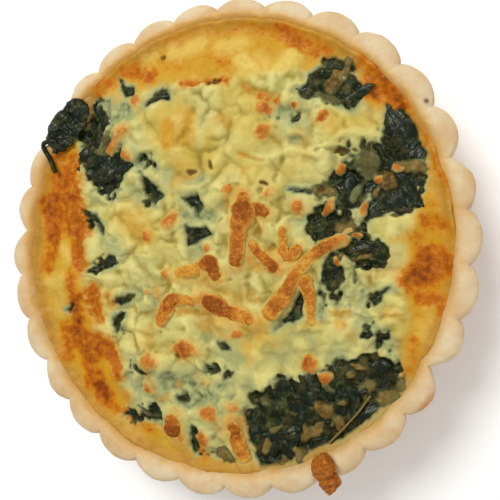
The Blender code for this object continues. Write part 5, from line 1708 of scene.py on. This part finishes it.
def build_crumb(settings):
    """The browned crumb on the rim: two rough lobes that run into each other."""
    low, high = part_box("cheese_crumb")
    middle = 0.5 * (low.z + high.z) / METRES
    parts = []
    for number, (x, y, radius) in enumerate(CRUMB_LOBES):
        centre = (*placed((x, y), CRUMB_LIFT), middle - 0.3 - 0.5 * number)
        radii = (1.1 * radius, 1.02 * radius, 0.85 * radius)
        points, faces, crown = blob(centre, radii, 0.4, 90 + number, 0.45)
        parts.append((points, faces, 0.85 + 0.15 * crown))
    points, faces, tone = joined(parts)
    add_browned("cheese_rim_crumb", points, faces, settings, ("cheese_crumb",), tone)


def add_light(name, place, size, power):
    """A round soft light that faces the quiche."""
    lamp = bpy.data.lights.new(name, "AREA")
    lamp.shape = "DISK"
    lamp.size = size
    lamp.energy = power
    made = add_object(name, lamp)
    made.location = place
    made.rotation_euler = (Vector(place) - Vector(LIGHT_AIM)).to_track_quat("Z", "Y").to_euler()


def build_stage():
    """A pale floor, soft light from above, and the camera at the angle of the photograph."""
    mesh = bpy.data.meshes.new("floor")
    corners = [(x * FLOOR_HALF, y * FLOOR_HALF, 0) for x, y in ((-1, -1), (1, -1), (1, 1), (-1, 1))]
    mesh.from_pydata(corners, [], [(0, 1, 2, 3)])
    shader = Shader("pale_floor")
    tone = shader.mix(shader.noise(60, 2), (0.90, 0.90, 0.89), (0.93, 0.93, 0.92))
    mesh.materials.append(shader.finish(tone, 0.8, shader.bump(shader.noise(3, 2), 0.02 * METRES, 0.1)))
    floor = add_object("floor", mesh)
    world = bpy.data.worlds.new("studio")
    world.use_nodes = True
    background = world.node_tree.nodes["Background"].inputs
    background["Color"].default_value = ROOM_COLOUR
    background["Strength"].default_value = ROOM_STRENGTH
    bpy.context.scene.world = world
    for name, light in LIGHTS.items():
        add_light(name, *light)
    place, back = eye()
    up = np.array([0, 1, 0]) - back * back[1]
    up /= np.linalg.norm(up)
    right = np.cross(up, back)
    camera = bpy.data.cameras.new("view")
    camera.lens = LENS
    camera.sensor_width = 36
    camera.clip_start = 0.005
    holder = add_object("view", camera)
    holder.matrix_world = Matrix.Translation(Vector(place * METRES)) @ Matrix(
        np.stack([right, up, back], 1).tolist()).to_4x4()
    bpy.context.scene.camera = holder
    bpy.context.scene.view_settings.view_transform = "Standard"


class QUICHE_OT_pastry(bpy.types.Operator):
    """Add the fluted pastry case"""
    bl_idname = "quiche.pastry"
    bl_label = "Pastry Case"

    def execute(self, context):
        build_pastry(context.scene.quiche_pastry)
        return {"FINISHED"}


class QUICHE_OT_filling(bpy.types.Operator):
    """Add the custard with its blanket of melted cheese"""
    bl_idname = "quiche.filling"
    bl_label = "Custard and Cheese"

    def execute(self, context):
        build_filling(context.scene.quiche_filling)
        return {"FINISHED"}


class QUICHE_OT_spinach(bpy.types.Operator):
    """Add the spinach leaves that show through the cheese, and those on the rim"""
    bl_idname = "quiche.spinach"
    bl_label = "Spinach"

    def execute(self, context):
        for build in (build_spinach, build_rim_leaf, build_stem, build_low_stem):
            build(context.scene.quiche_spinach)
        return {"FINISHED"}


class QUICHE_OT_shreds(bpy.types.Operator):
    """Add the long browned shreds of cheese, and the crumb on the rim"""
    bl_idname = "quiche.shreds"
    bl_label = "Browned Cheese"

    def execute(self, context):
        build_shreds(context.scene.quiche_shreds)
        build_crumb(context.scene.quiche_shreds)
        return {"FINISHED"}


class QUICHE_OT_stage(bpy.types.Operator):
    """Add the floor, the lights and the camera"""
    bl_idname = "quiche.stage"
    bl_label = "Stage"

    def execute(self, context):
        build_stage()
        return {"FINISHED"}


class QUICHE_PT_panel(bpy.types.Panel):
    bl_label = "Spinach Quiche"
    bl_idname = "QUICHE_PT_panel"
    bl_space_type = "VIEW_3D"
    bl_region_type = "UI"
    bl_category = "Quiche"

    def draw(self, context):
        for name in OPERATORS:
            self.layout.operator("quiche." + name)
        for group in GROUPS:
            box = self.layout.box()
            settings = getattr(context.scene, group)
            for key in settings.bl_rna.properties.keys():
                if key not in ("rna_type", "name"):
                    box.prop(settings, key)


OPERATORS = ("stage", "pastry", "filling", "spinach", "shreds")
GROUPS = {
    "quiche_pastry": QuichePastry,
    "quiche_filling": QuicheFilling,
    "quiche_spinach": QuicheSpinach,
    "quiche_shreds": QuicheShreds,
}
CLASSES = (
    *GROUPS.values(),
    QUICHE_OT_pastry,
    QUICHE_OT_filling,
    QUICHE_OT_spinach,
    QUICHE_OT_shreds,
    QUICHE_OT_stage,
    QUICHE_PT_panel,
)


def register():
    for item in CLASSES:
        bpy.utils.register_class(item)
    for name, group in GROUPS.items():
        setattr(bpy.types.Scene, name, PointerProperty(type=group))


def unregister():
    for name in GROUPS:
        delattr(bpy.types.Scene, name)
    for item in reversed(CLASSES):
        bpy.utils.unregister_class(item)


def main():
    register()
    for name in OPERATORS:
        getattr(bpy.ops.quiche, name)()


if __name__ == "__main__":
    main()
